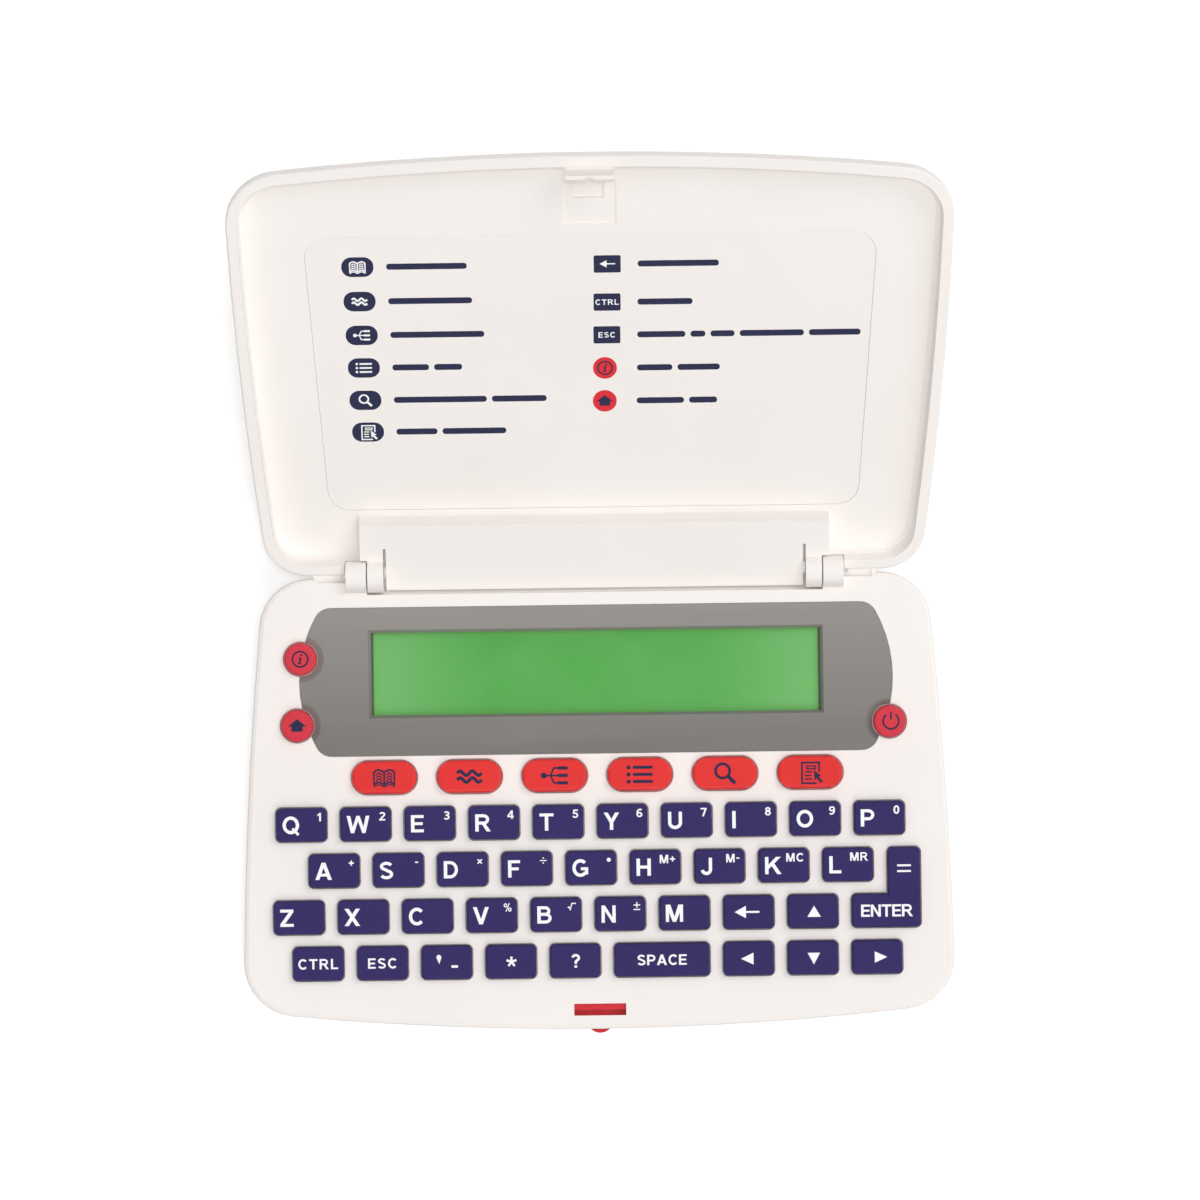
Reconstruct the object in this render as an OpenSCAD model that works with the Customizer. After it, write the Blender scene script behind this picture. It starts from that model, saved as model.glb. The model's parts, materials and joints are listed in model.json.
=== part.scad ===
// A pocket electronic dictionary, drawn with its lid open, in millimetres.
// X runs along the hinge, +Y points to the hinge side and +Z up.
// The origin is the middle of the flat underside, which rests on the table.

/* [Base] */
// Width of the base across its front corners
base_w = 126; // [124:0.5:132]
// How much narrower each side of the base is ahead of its rear corners
base_taper = 3.3; // [0:0.1:5]
// Depth of the base, from front edge to rear edge
base_d = 80.4; // [76:0.2:90]
// Height of the deck above the table
base_h = 10.5; // [10:0.1:12]
// Height of the seam between the halves of the base
seam_z = 5.2; // [4.8:0.1:5.4]
// Wall of the base
wall = 1.6; // [1.3:0.1:2]
// Floor of the bottom half
floor_t = 1.4; // [1.2:0.1:1.8]
// Thickness of the deck
deck_t = 1.5; // [1.3:0.1:1.7]
// Bulge radius of the front edges of base and lid
front_r = 520; // [300:10:900]
// Bulge radius of the sides of base and lid
side_r = 780; // [400:10:1200]
// Radius of the front corners of base and lid
front_corner_r = 9.5; // [8:0.5:12]
// Radius of the rear corners of the base
rear_corner_r = 9; // [8:0.5:11]
// Rounding of the bottom edge, across
belly_in = 3; // [2:0.1:3.6]
// Rounding of the bottom edge, up
belly_up = 3.4; // [2:0.1:4]
// Rounding of the deck's outer edge
deck_edge = 0.8; // [0.4:0.1:1]

/* [Lid] */
// How far the lid opens
lid_open = 152.5; // [120:0.5:165]
// Height of the lid
lid_h = 5.4; // [5:0.1:7]
// How much narrower than the base each side of the lid is at the hinge
lid_taper = 0.8; // [0:0.1:1.5]
// Radius of the lid's corners at the hinge
lid_corner_r = 8; // [6:0.5:10]
// Rim of the lid, and its side walls
lid_rim = 1.9; // [1.6:0.1:2.4]
// Depth of the lid's inside, from its rim
lid_depth = 3.8; // [3.2:0.1:4]
// Fillet along the foot of the lid's walls
lid_fillet = 1.2; // [0.6:0.1:1.6]
// Rounding of the lid's top edge, across
crown_in = 5.5; // [4:0.1:7]
// Rounding of the lid's top edge, down
crown_down = 3.8; // [3:0.1:4.4]
// How far the raised bar inside the lid reaches past the hinge arms
bar_side = 1.3; // [0.8:0.1:2.5]
// Depth of the raised hinge bar, from the axis
bar_d = 10; // [8:0.1:10.4]
// Gap between the closed lid and the deck
lid_gap = 0.15; // [0.1:0.05:0.3]

/* [Hinge] */
// How far the hinge axis lies behind the base
hinge_back = 0.2; // [0.1:0.05:0.4]
// Radius of the knuckles
knuckle_r = 2.8; // [2.4:0.1:2.9]
// Radius of the stub pins
pin_r = 0.95; // [0.8:0.05:1.1]
// Length of a stub pin
pin_len = 3; // [2:0.1:3.4]
// Length of the lid's hinge, arm to arm
hinge_len = 80.4; // [76:0.2:86]
// Width of a hinge arm
arm_w = 2.8; // [2.4:0.1:3.4]
// Width of the slit beside a hinge arm
slit_w = 0.5; // [0.4:0.1:0.8]
// Length of the slit, from the axis
slit_len = 5.4; // [4:0.1:7]
// Width of an ear on the base
ear_w = 3.6; // [3.2:0.1:4]
// Width of a lid stop
stop_w = 5; // [3:0.5:6]
// Drop of a lid stop under the axis
stop_drop = 3.8; // [3:0.1:4.4]
// Reach of a lid stop behind the axis
stop_reach = 1.6; // [1.2:0.1:2]

/* [Keys] */
// From the sides of the base to the outermost keys
keys_side = 6.05; // [5.6:0.05:9]
// From the front edge to the front row
keys_front = 9.25; // [9.1:0.05:11]
// Gap between the keys of a row
column_gap = 2.47; // [1.8:0.01:3.4]
// Gap between the rows
row_gap = 2.31; // [1.6:0.01:3]
// How far the enter key reaches past the rear row
enter_past = 2.67; // [2:0.01:4]
// Start of the front row, right of the rear row's start
front_stagger = 2.7; // [0:0.1:4]
// Start of the second row, left of the rear row's start
second_stagger = 0.6; // [0:0.1:1]
// Start of the third row, right of the rear row's start
third_stagger = 5.7; // [5:0.1:5.9]
// End of the arrow keys, left of the rear row's end
arrow_short = 0.69; // [0:0.01:2]
// Width of the enter key's stem
stem_w = 5.75; // [5.2:0.05:6]
// Corner radius of a key
key_r = 0.9; // [0.5:0.1:1.4]
// Rounding of a key's top edge
key_edge = 0.4; // [0.2:0.05:0.6]
// Height of a key above the deck
key_rise = 1.5; // [1:0.1:1.8]
// Travel of every key and button
key_travel = 0.8; // [0.5:0.05:0.9]
// Width of an oval button
oval_w = 11.5; // [10:0.1:12.5]
// Depth of an oval button
oval_d = 5.85; // [5.4:0.05:6.4]
// From the bezel's ends to the outermost oval buttons
oval_side = 9.05; // [7:0.05:10]
// Gap between the oval buttons and the bezel
oval_gap = 0.925; // [0.8:0.025:1.2]
// Height of the oval buttons above the deck
oval_rise = 1.3; // [0.8:0.1:1.6]
// Rounding of an oval button's top edge
oval_edge = 0.7; // [0.3:0.1:1]
// Diameter of a round button
round_d = 5.75; // [5.2:0.05:6]
// Height of the round buttons above the deck
round_rise = 1.4; // [0.8:0.1:1.6]
// Rounding of a round button's top edge
round_edge = 0.6; // [0.3:0.1:1]
// Gap between a key and its opening
key_gap = 0.25; // [0.15:0.05:0.3]
// Width of the flange that keeps a key in
flange_w = 0.6; // [0.45:0.05:0.65]
// Thickness of that flange
flange_t = 0.6; // [0.5:0.05:0.7]
// Wall of the smallest button, round the hollow for its dome
key_wall = 0.675; // [0.55:0.025:1]

/* [Display] */
// From the sides of the base, at its rear, to the bezel
bezel_side = 7.2; // [6.4:0.1:9]
// From the rear edge of the base to the bezel
bezel_rear = 5.3; // [4.9:0.1:6]
// Depth of the bezel
bezel_d = 26.2; // [24:0.1:28]
// Bulge radius of the bezel's ends
bezel_end_r = 24; // [22:1:30]
// Corner radius of the bezel
bezel_corner_r = 3; // [1.5:0.1:4]
// Thickness of the bezel
bezel_t = 0.8; // [0.6:0.1:0.9]
// From the bezel's ends to the opening over the display
view_side = 12.2; // [10:0.1:15]
// From the bezel's front edge to that opening
view_front = 6.65; // [5:0.05:8]
// From the bezel's rear edge to that opening
view_rear = 3.95; // [3.6:0.05:6]
// Slope of the opening's edges, across
view_slope = 0.5; // [0.2:0.1:0.7]
// How far the info button lies in from the bezel's end
info_in = 0.2; // [0:0.1:1]
// How far the info button lies behind the bezel's middle
info_back = 4.2; // [2:0.1:5]
// How far the shift button lies out from the bezel's end
shift_out = 0.5; // [0:0.1:0.8]
// How far the shift button lies ahead of the bezel's middle
shift_ahead = 7.6; // [5:0.1:8]
// How far the power button lies in from the bezel's other end
power_in = 0.6; // [0:0.1:1]
// How far the power button lies ahead of the bezel's middle
power_ahead = 8.1; // [5:0.1:8.5]
// Radius of the dimple round each round button
dimple_r = 4.2; // [3.8:0.1:4.6]
// Depth of that dimple
dimple_t = 0.5; // [0.2:0.05:0.55]
// Thickness of the clear window
lens_t = 1; // [0.8:0.05:1.1]
// How far the window reaches under the bezel
lens_lap = 1; // [0.6:0.1:1.4]
// How far the liquid crystal panel reaches past the opening, to the sides
lcd_side = 3.2; // [2:0.1:4]
// How far it reaches past the opening, to front and rear
lcd_end = 1.9; // [1.4:0.1:2.2]
// Width of the panel's open glass ledge
lcd_ledge = 1.6; // [1:0.1:2]

/* [Inside] */
// Thickness of the circuit board
board_t = 0.8; // [0.6:0.1:1]
// From the sides of the base to the circuit board
board_side = 4; // [2.8:0.1:4.6]
// From the front edge of the base to the circuit board
board_front = 9; // [8.6:0.1:10]
// From the rear edge of the base to the circuit board
board_rear = 9.8; // [9.6:0.1:11]
// Thickness of the key sheet
sheet_t = 0.55; // [0.4:0.05:0.6]
// Diameter of a coin cell
cell_d = 20; // [19:0.1:21]
// Height of a coin cell
cell_h = 3.2; // [2.5:0.1:3.4]
// Gap between the two coin cells
cell_gap = 1.4; // [1:0.1:2.4]
// Centre of the coin cells, from the rear edge
cell_rear = 24.9; // [24.4:0.1:26]
// How far the battery door reaches past the cells, to the sides
door_side = 2.3; // [2:0.1:3.2]
// How far it reaches past the cells, to front and rear
door_end = 2.5; // [2.3:0.1:3]
// Thickness of the battery door
door_t = 1.1; // [0.9:0.05:1.15]
// Width of a tongue of the battery door
tongue_w = 5; // [4:0.1:7]
// Reach of a tongue under the floor
tongue_out = 1.4; // [1:0.1:1.8]

/* [Screws] */
// Radius of the screw shanks
screw_r = 0.9; // [0.8:0.05:1]
// Radius of the screw heads
screw_head_r = 1.7; // [1.5:0.05:1.9]
// Height of a case screw's head
screw_head_h = 1; // [0.8:0.05:1.2]
// Length of a case screw's shank
screw_len = 6.4; // [5:0.1:6.6]
// Depth of a case screw's head under the underside
head_low = 0.6; // [0.3:0.05:0.8]
// Radius of the screw bosses
boss_r = 2.2; // [2:0.05:2.4]
// Rear screws, from the sides of the base at its rear
rear_screw_side = 5.4; // [5:0.1:6]
// Rear screws, from the rear edge
rear_screw_in = 7.1; // [6.8:0.1:8]
// Front screws, from the sides of the base
front_screw_side = 19; // [15:0.5:24]
// Front screws, from the front edge
front_screw_in = 5.9; // [5.6:0.1:6.2]

/* [Latch] */
// Width of the latch window in the deck
window_w = 9.2; // [9:0.1:11]
// Depth of the latch window
window_d = 2.1; // [2:0.1:2.3]
// Centre of the latch window, from the front edge
window_in = 3.46; // [3.4:0.02:3.6]
// Thickness of the deck round the latch window
window_t = 0.6; // [0.5:0.05:0.9]
// Travel of the latch
latch_travel = 0.8; // [0.7:0.05:0.85]
// Gap beside the latch hook in its window
hook_side = 0.4; // [0.2:0.05:0.8]
// Thickness of the hook's post
hook_t = 0.75; // [0.6:0.05:0.8]
// Reach of the hook's barb
barb = 0.6; // [0.5:0.05:0.65]
// Height of the hook's barb
barb_h = 0.8; // [0.6:0.05:0.9]
// Width of the notch in the middle of the hook
hook_notch = 1.4; // [0.8:0.1:2]
// Width of the latch plate
plate_w = 13; // [12:0.1:16]
// Thickness of the latch plate
plate_t = 0.9; // [0.7:0.05:1]
// Thickness of the latch's catch ledge
ledge_t = 0.7; // [0.5:0.05:0.8]
// Half span of the latch's spring legs
leg_span = 20; // [16:0.5:24]
// Thickness of a spring leg
leg_t = 0.7; // [0.5:0.05:0.9]
// Radius of the push tab
tab_r = 2.4; // [2:0.1:3]
// How far the push tab stands out
tab_out = 0.83; // [0.8:0.01:1]
// Height of the push tab
tab_h = 2.4; // [1.8:0.1:2.5]

/* [Card] */
// Width of the legend card at its far edge
card_w = 99.2; // [94:0.2:101]
// Width of the legend card at its hinge edge
card_near_w = 93.8; // [90:0.2:95]
// Hinge edge of the card, from the axis
card_near = 11.3; // [11:0.1:14]
// Far edge of the card, from the front edge of the lid
card_front = 16.4; // [15.4:0.1:20]
// Corner radius of the card
card_r = 4; // [2:0.1:6]
// Thickness of the card
card_t = 0.4; // [0.3:0.05:0.5]
// Depth of the recess that the card lies in
card_sink = 0.55; // [0.5:0.05:0.7]

/* [Hidden] */
// Facets of a full circle
$fn = 48;
// Small overlap that joins or cuts cleanly
eps = 0.02;
// Overshoot of cuts that pass right through
over = 5;
// Running gap of the stub pins in their ears
pin_gap = 0.05;
// Gap between faces that only lie against each other
seat = 0.05;
// Gap round the pieces that drop into a recess
drop_gap = 0.1;
// Running gap beside pieces that turn or slide
run_gap = 0.15;
// Gap beside pieces in their openings, and round the screw heads
side_gap = 0.2;
// Free space at the ends of pieces that move, and past the ends of the screws
end_gap = 0.4;
// Gap round a screw shank in its pilot hole
screw_gap = 0.03;
// Steps along a corner, a side, the front, a bezel end, a bezel corner and a rounded edge
corner_steps = 8;
side_steps = 5;
front_steps = 12;
end_steps = 10;
turn_steps = 5;
edge_steps = 2;
belly_steps = 4;
crown_steps = 5;

// The vertical stack, from the deck down to the cells
deck_under = base_h - deck_t;
flange_top = deck_under - seat;
flange_low = flange_top - flange_t;
sheet_top = flange_low - key_travel - run_gap;
sheet_low = sheet_top - sheet_t;
board_top = sheet_low - seat;
board_low = board_top - board_t;
door_low = 0.3;
cell_low = door_low + door_t + drop_gap;
cell_top = cell_low + cell_h;
bezel_low = base_h - seat - bezel_t;
lens_top = bezel_low - seat;
lens_low = lens_top - lens_t;
lcd_top = lens_low - seat;

// The base lies between these, and the lid closes over it about the hinge axis
front_y = -base_d / 2;
rear_y = base_d / 2;
base_rear_w = base_w - 2 * base_taper;
axis_y = rear_y + hinge_back;
axis_z = base_h;
rim_z = base_h + lid_gap;
lid_top = rim_z + lid_h;
lid_floor = rim_z + lid_depth;

// The display, in the rear of the deck
bezel_w = base_rear_w - 2 * bezel_side;
bezel_y = rear_y - bezel_rear - bezel_d / 2;
view_w = bezel_w - 2 * view_side;
view_d = bezel_d - view_front - view_rear;
view_y = bezel_y + (view_front - view_rear) / 2;
lcd_w = view_w + 2 * lcd_side;
lcd_d = view_d + 2 * lcd_end;

// The rows of keys, from the front one to the rear one, and the buttons under the display
front_keys = ["key_ctrl", "key_esc", "key_hyphen", "key_star", "key_question"];
arrow_keys = ["key_left", "key_down", "key_right"];
second_keys = ["key_z", "key_x", "key_c", "key_v", "key_b", "key_n", "key_m", "key_backspace", "key_up"];
third_keys = ["key_a", "key_s", "key_d", "key_f", "key_g", "key_h", "key_j", "key_k", "key_l"];
rear_keys = ["key_q", "key_w", "key_e", "key_r", "key_t", "key_y", "key_u", "key_i", "key_o", "key_p"];
ovals = [
    "button_dictionary", "button_synonyms", "button_conjugation",
    "button_list", "button_index", "button_notes"
];
rows = 4;
function steps_of(row) = len(row) - 1;

// The keys fill the field between the display, the front row and the sides. The buttons under
// the display keep half a row's pitch more from the rear row.
keys_left = keys_side - base_w / 2;
keys_right = base_w / 2 - keys_side;
key_pitch = (keys_right - enter_past - keys_left + column_gap) / len(rear_keys);
key_w = key_pitch - column_gap;
oval_pitch = (bezel_w - 2 * oval_side - oval_w) / steps_of(ovals);
oval_y = bezel_y - (bezel_d + oval_d) / 2 - oval_gap;
row_pitch = (oval_y - front_y - keys_front + row_gap / 2) / (rows + 0.5);
key_d = row_pitch - row_gap;
row_y = [for (i = [0:rows - 1]) front_y + keys_front + key_d / 2 + i * row_pitch];
rear_start = keys_left + key_w / 2;
row_start = [
    rear_start + front_stagger, rear_start - second_stagger,
    rear_start + third_stagger, rear_start
];
rear_end = rear_start + steps_of(rear_keys) * key_pitch;
arrow_start = rear_end - arrow_short - steps_of(arrow_keys) * key_pitch;
up_x = row_start[1] + steps_of(second_keys) * key_pitch;
space_left = row_start[0] + steps_of(front_keys) * key_pitch + key_w / 2 + column_gap;
space_right = arrow_start - key_w / 2 - column_gap;
space_w = space_right - space_left;

// The enter key is a foot in the second row with a stem up to the third
enter_left = up_x + key_w / 2 + column_gap;
enter_w = keys_right - enter_left;
enter_foot = [(keys_right + enter_left) / 2, row_y[1]];
enter_stem_d = row_pitch + key_d;
enter_stem = [keys_right - stem_w / 2, (row_y[1] + row_y[2]) / 2];

// The domes stand in hollows under the keys, and reach them when pressed
dome_gap = 0.3;
dome_clear = 0.1;
dome_h = 1;
dome_slope = 0.7;
hollow_r = min(key_d, oval_d, round_d) / 2 - key_wall;
dome_r = hollow_r - dome_gap;
dome_top_r = dome_r - dome_slope;
hollow_top = sheet_top + dome_h + dome_clear + key_travel;

// Every key: name, centre, size, rise, top edge, corner radius, dome places and colour
cream = [0.96, 0.94, 0.92];
card_cream = [0.94, 0.92, 0.9];
navy = [0.2, 0.17, 0.38];
red = [0.87, 0.2, 0.22];
bezel_grey = [0.55, 0.54, 0.52];
lcd_green = [0.37, 0.69, 0.35];
one_dome = [[0, 0]];
space_domes = [[-space_w / 4, 0], [space_w / 4, 0]];
enter_domes = [[0, 0], [enter_stem.x - enter_foot.x, row_pitch]];
function key_row(names, x, y) = [
    for (i = [0:steps_of(names)])
    [names[i], [x + i * key_pitch, y], [key_w, key_d], key_rise, key_edge, key_r, one_dome, navy]
];
function oval_row(names) = [
    for (i = [0:steps_of(names)])
    let (x = (i - steps_of(names) / 2) * oval_pitch)
    [names[i], [x, oval_y], [oval_w, oval_d], oval_rise, oval_edge, oval_d / 2, one_dome, red]
];
space_at = [(space_left + space_right) / 2, row_y[0]];
KEYS = concat(
    key_row(front_keys, row_start[0], row_y[0]),
    [["key_space", space_at, [space_w, key_d], key_rise, key_edge, key_r, space_domes, navy]],
    key_row(arrow_keys, arrow_start, row_y[0]),
    key_row(second_keys, row_start[1], row_y[1]),
    key_row(third_keys, row_start[2], row_y[2]),
    key_row(rear_keys, row_start[3], row_y[3]),
    oval_row(ovals)
);
function name_of(k) = k[0];
function place_of(k) = k[1];
function size_of(k) = k[2];
function rise_of(k) = k[3];
function edge_of(k) = k[4];
function corner_of(k) = k[5];
function domes_of(k) = k[6];
function colour_of(k) = k[7];
ROUNDS = [
    ["button_info", [info_in - bezel_w / 2, bezel_y + info_back]],
    ["button_shift", [-bezel_w / 2 - shift_out, bezel_y - shift_ahead]],
    ["button_power", [bezel_w / 2 - power_in, bezel_y - power_ahead]]
];

// Screws: four through the bosses, one in the battery door between the cells
cell_y = rear_y - cell_rear;
cell_pitch = cell_d + cell_gap;
door_w = cell_pitch + cell_d + 2 * door_side;
door_d = cell_d + 2 * door_end;
rear_screw_x = base_rear_w / 2 - rear_screw_side;
front_screw_x = base_w / 2 - front_screw_side;
case_screws_at = [
    [-rear_screw_x, rear_y - rear_screw_in], [rear_screw_x, rear_y - rear_screw_in],
    [-front_screw_x, front_y + front_screw_in], [front_screw_x, front_y + front_screw_in]
];
door_screw_edge = 3.2;
door_screw_y = cell_y + door_d / 2 - door_screw_edge;
door_screw_len = 2.6;
door_head_h = 0.55;
door_head_low = door_low + drop_gap;

// The latch, from its ledge under the deck down to its plate, with the lid's hook in between
hook_w = window_w - 2 * hook_side;
ledge_top = base_h - window_t - drop_gap;
ledge_low = ledge_top - ledge_t;
barb_top = ledge_low - drop_gap;
hook_tip = barb_top - barb_h;
hook_clear = 0.4;
plate_top = hook_tip - hook_clear;
plate_low = plate_top - plate_t;
window_front = front_y + window_in - window_d / 2;
hook_front = window_front + drop_gap;
hook_rear = hook_front + hook_t;
ledge_front = hook_rear + drop_gap;
ledge_half = window_w / 2 + end_gap;
ledge_web = 1;
latch_rear = window_front + window_d + latch_travel + ledge_web + drop_gap;
tab_low = max(seam_z + end_gap, plate_top + side_gap - tab_h);

// A closed outline is a list of arcs: centre, radius, first and last angle, steps, and whether
// its last point is kept because a straight line follows. An inset shrinks every radius.
function on_arc(c, r, a) = c + r * [cos(a), sin(a)];
function trace(arcs, inset = 0) = [
    for (a = arcs) for (i = [0:a[4] - (a[5] ? 0 : 1)])
    on_arc(a[0], a[1] - inset, a[2] + (a[3] - a[2]) * i / a[4])
];
function bearing(p, q) = atan2(q.y - p.y, q.x - p.x);
function mirrored(a, keep = false) = [[-a[0].x, a[0].y], a[1], 180 - a[3], 180 - a[2], a[4], keep];

// Centre of the arc of radius r through p and q that bulges to +X
function arc_centre(p, q, r) =
    let (m = (p + q) / 2, v = q - p, h = sqrt(r * r - v * v / 4))
    m + h * [-v.y, v.x] / norm(v);

// Where circles about p and q meet, on the right-hand side of the way from p to q
function meet(p, rp, q, rq) =
    let (v = q - p, d = norm(v), a = (rp * rp - rq * rq + d * d) / (2 * d))
    let (h = sqrt(rp * rp - a * a))
    p + a * v / d + h * [v.y, -v.x] / d;

// The sides pass through these places, so far in from the front and from the rear edge
side_front = 12;
side_rear = 10;

// Outline of the base or the lid: front arc, front corners, side arcs, rear corners, straight rear
function shell_arcs(rear_w, rear_r) =
    let (front_c = [0, front_y + front_r])
    let (wide = [base_w / 2, front_y + side_front], narrow = [rear_w / 2, rear_y - side_rear])
    let (side_c = arc_centre(wide, narrow, side_r))
    let (corner = meet(side_c, side_r - front_corner_r, front_c, front_r - front_corner_r))
    let (rear_cy = rear_y - rear_r, reach = side_r - rear_r)
    let (rear_cx = side_c.x + sqrt(reach * reach - pow(rear_cy - side_c.y, 2)))
    let (rear_corner = [rear_cx, rear_cy])
    let (a_front = bearing(front_c, corner), a_side = bearing(side_c, corner))
    let (a_rear = bearing(side_c, rear_corner))
    let (front_arc = [front_c, front_r, -180 - a_front, a_front, front_steps, false])
    let (turn = [corner, front_corner_r, a_front, a_side, corner_steps, false])
    let (side = [side_c, side_r, a_side, a_rear, side_steps, false])
    let (back = [rear_corner, rear_r, a_rear, 90, corner_steps, true])
    [front_arc, turn, side, back, mirrored(back), mirrored(side), mirrored(turn)];

base_arcs = shell_arcs(base_rear_w, rear_corner_r);
lid_arcs = shell_arcs(base_rear_w - 2 * lid_taper, lid_corner_r);

// Outline of the bezel: two bulged ends with rounded corners between straight long edges
bezel_c = bezel_w / 2 - bezel_end_r;
bezel_corner_y = bezel_d / 2 - bezel_corner_r;
bezel_corner_x = sqrt(pow(bezel_end_r - bezel_corner_r, 2) - pow(bezel_corner_y, 2));
bezel_turn = atan2(bezel_corner_y, bezel_corner_x);
function bezel_corner(side, a0, a1, keep) = [
    [bezel_c + bezel_corner_x, bezel_y + side * bezel_corner_y], bezel_corner_r, a0, a1, turn_steps, keep
];
bezel_right = [
    bezel_corner(-1, -90, -bezel_turn, false),
    [[bezel_c, bezel_y], bezel_end_r, -bezel_turn, bezel_turn, end_steps, false],
    bezel_corner(1, bezel_turn, 90, true)
];
bezel_arcs = concat(
    bezel_right,
    [mirrored(bezel_right[2]), mirrored(bezel_right[1]), mirrored(bezel_right[0], true)]
);

// Insets and heights along a rounded edge: from a flat face out to a wall, and from a wall in
function foot(across, up, low, steps, inset = 0) = [
    for (i = [0:steps])
    let (a = 90 * i / steps)
    [inset + across * (1 - sin(a)), low + up * (1 - cos(a))]
];
function brow(across, down, high, steps, inset = 0) = [
    for (i = [0:steps])
    let (a = 90 * i / steps)
    [inset + across * (1 - cos(a)), high - down * (1 - sin(a))]
];

// A solid through the same outline at several levels, each with its inset and its height
module loft(arcs, levels) {
    n = len(trace(arcs));
    last = len(levels) - 1;
    points = [for (l = levels) for (p = trace(arcs, l[0])) [p.x, p.y, l[1]]];
    sides = [
        for (k = [0:last - 1]) for (i = [0:n - 1])
        let (j = (i + 1) % n)
        [k * n + i, (k + 1) * n + i, (k + 1) * n + j, k * n + j]
    ];
    caps = [[for (i = [0:n - 1]) i], [for (i = [n - 1:-1:0]) last * n + i]];
    polyhedron(points, concat(sides, caps));
}

module plate(arcs, inset, low, high) {
    translate([0, 0, low])
        linear_extrude(high - low)
            polygon(trace(arcs, inset));
}

// A plate inside the base's outline, in two strips so wide, set in from the front and rear edges
module inner_plate(inset, strip, front_in, rear_in, low, high) {
    intersection() {
        plate(base_arcs, inset, low, high);
        both_sides()
            block(base_w / 2 - strip, base_w / 2, front_y + front_in, rear_y - rear_in, low - over,
                high + over);
    }
}

module block(x0, x1, y0, y1, z0, z1) {
    translate([x0, y0, z0])
        cube([x1 - x0, y1 - y0, z1 - z0]);
}

// A flat rectangle with round corners
module rounded(w, d, r) {
    square([w - 2 * r, d], center = true);
    square([w, max(d - 2 * r, eps)], center = true);
    for (x = [-1, 1], y = [-1, 1])
        translate([x * (w / 2 - r), y * (d / 2 - r)])
            circle(r);
}

// The side view of a block whose two top edges are rounded
module crowned(w, h, r) {
    translate([-w / 2, 0])
        square([w, h - r]);
    translate([r - w / 2, 0])
        square([w - 2 * r, h]);
    for (x = [-1, 1])
        translate([x * (w / 2 - r), h - r])
            circle(r);
}

// A cap with round corners and rounded top edges, standing on z = 0
module cap(w, d, h, r, edge) {
    intersection() {
        linear_extrude(h)
            rounded(w, d, r);
        rotate([90, 0, 0])
            linear_extrude(d + over, center = true)
                crowned(w, h, edge);
        rotate([90, 0, 90])
            linear_extrude(w + over, center = true)
                crowned(d, h, edge);
    }
}

module at(p, z = 0) {
    translate([p.x, p.y, z])
        children();
}

module tube_x(r, x0, x1) {
    translate([x0, axis_y, axis_z])
        rotate([0, 90, 0])
            cylinder(r = r, h = x1 - x0);
}

// Turns what is drawn closed to the open lid
module opened() {
    translate([0, axis_y, axis_z])
        rotate([-lid_open, 0, 0])
            translate([0, -axis_y, -axis_z])
                children();
}

module both_sides() {
    children();
    mirror([1, 0, 0])
        children();
}

module key_openings() {
    for (k = KEYS)
        at(place_of(k), deck_under - over)
            linear_extrude(2 * over)
                rounded(size_of(k).x + 2 * key_gap, size_of(k).y + 2 * key_gap, corner_of(k) + key_gap);
    at(enter_foot, deck_under - over)
        linear_extrude(2 * over)
            rounded(enter_w + 2 * key_gap, key_d + 2 * key_gap, key_r + key_gap);
    at(enter_stem, deck_under - over)
        linear_extrude(2 * over)
            rounded(stem_w + 2 * key_gap, enter_stem_d + 2 * key_gap, key_r + key_gap);
    for (b = ROUNDS)
        at(place_of(b), deck_under - over)
            cylinder(d = round_d + 2 * key_gap, h = 2 * over);
}

// The lip of the bottom half stands inside the wall of the top half
lip_t = 0.7;
lip_h = 1;
boss_shoulder = lip_h + head_low - side_gap;
boss_neck = 0.5;

// The trough of the hinge and the frame round the window, under the deck
trough_r = knuckle_r + end_gap;
trough_half = hinge_len / 2 + run_gap;
trough_wall = 1.2;
trough_low = max(axis_z - trough_r - trough_wall, seam_z + drop_gap);
ear_in = trough_half + drop_gap;
ear_out = ear_in + ear_w;
ear_root = 1;
ear_low = 1.2;
frame_side = 4;
frame_end = 2.4;
lens_room = lens_lap + drop_gap;

// Guides beside the latch plate, the tab's neck behind the wall, and the pocket of the ledge
guide_gap = 0.3;
guide_t = 1;
guide_rear = 5;
neck_root = 1;
pocket_gap = 0.3;

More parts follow.
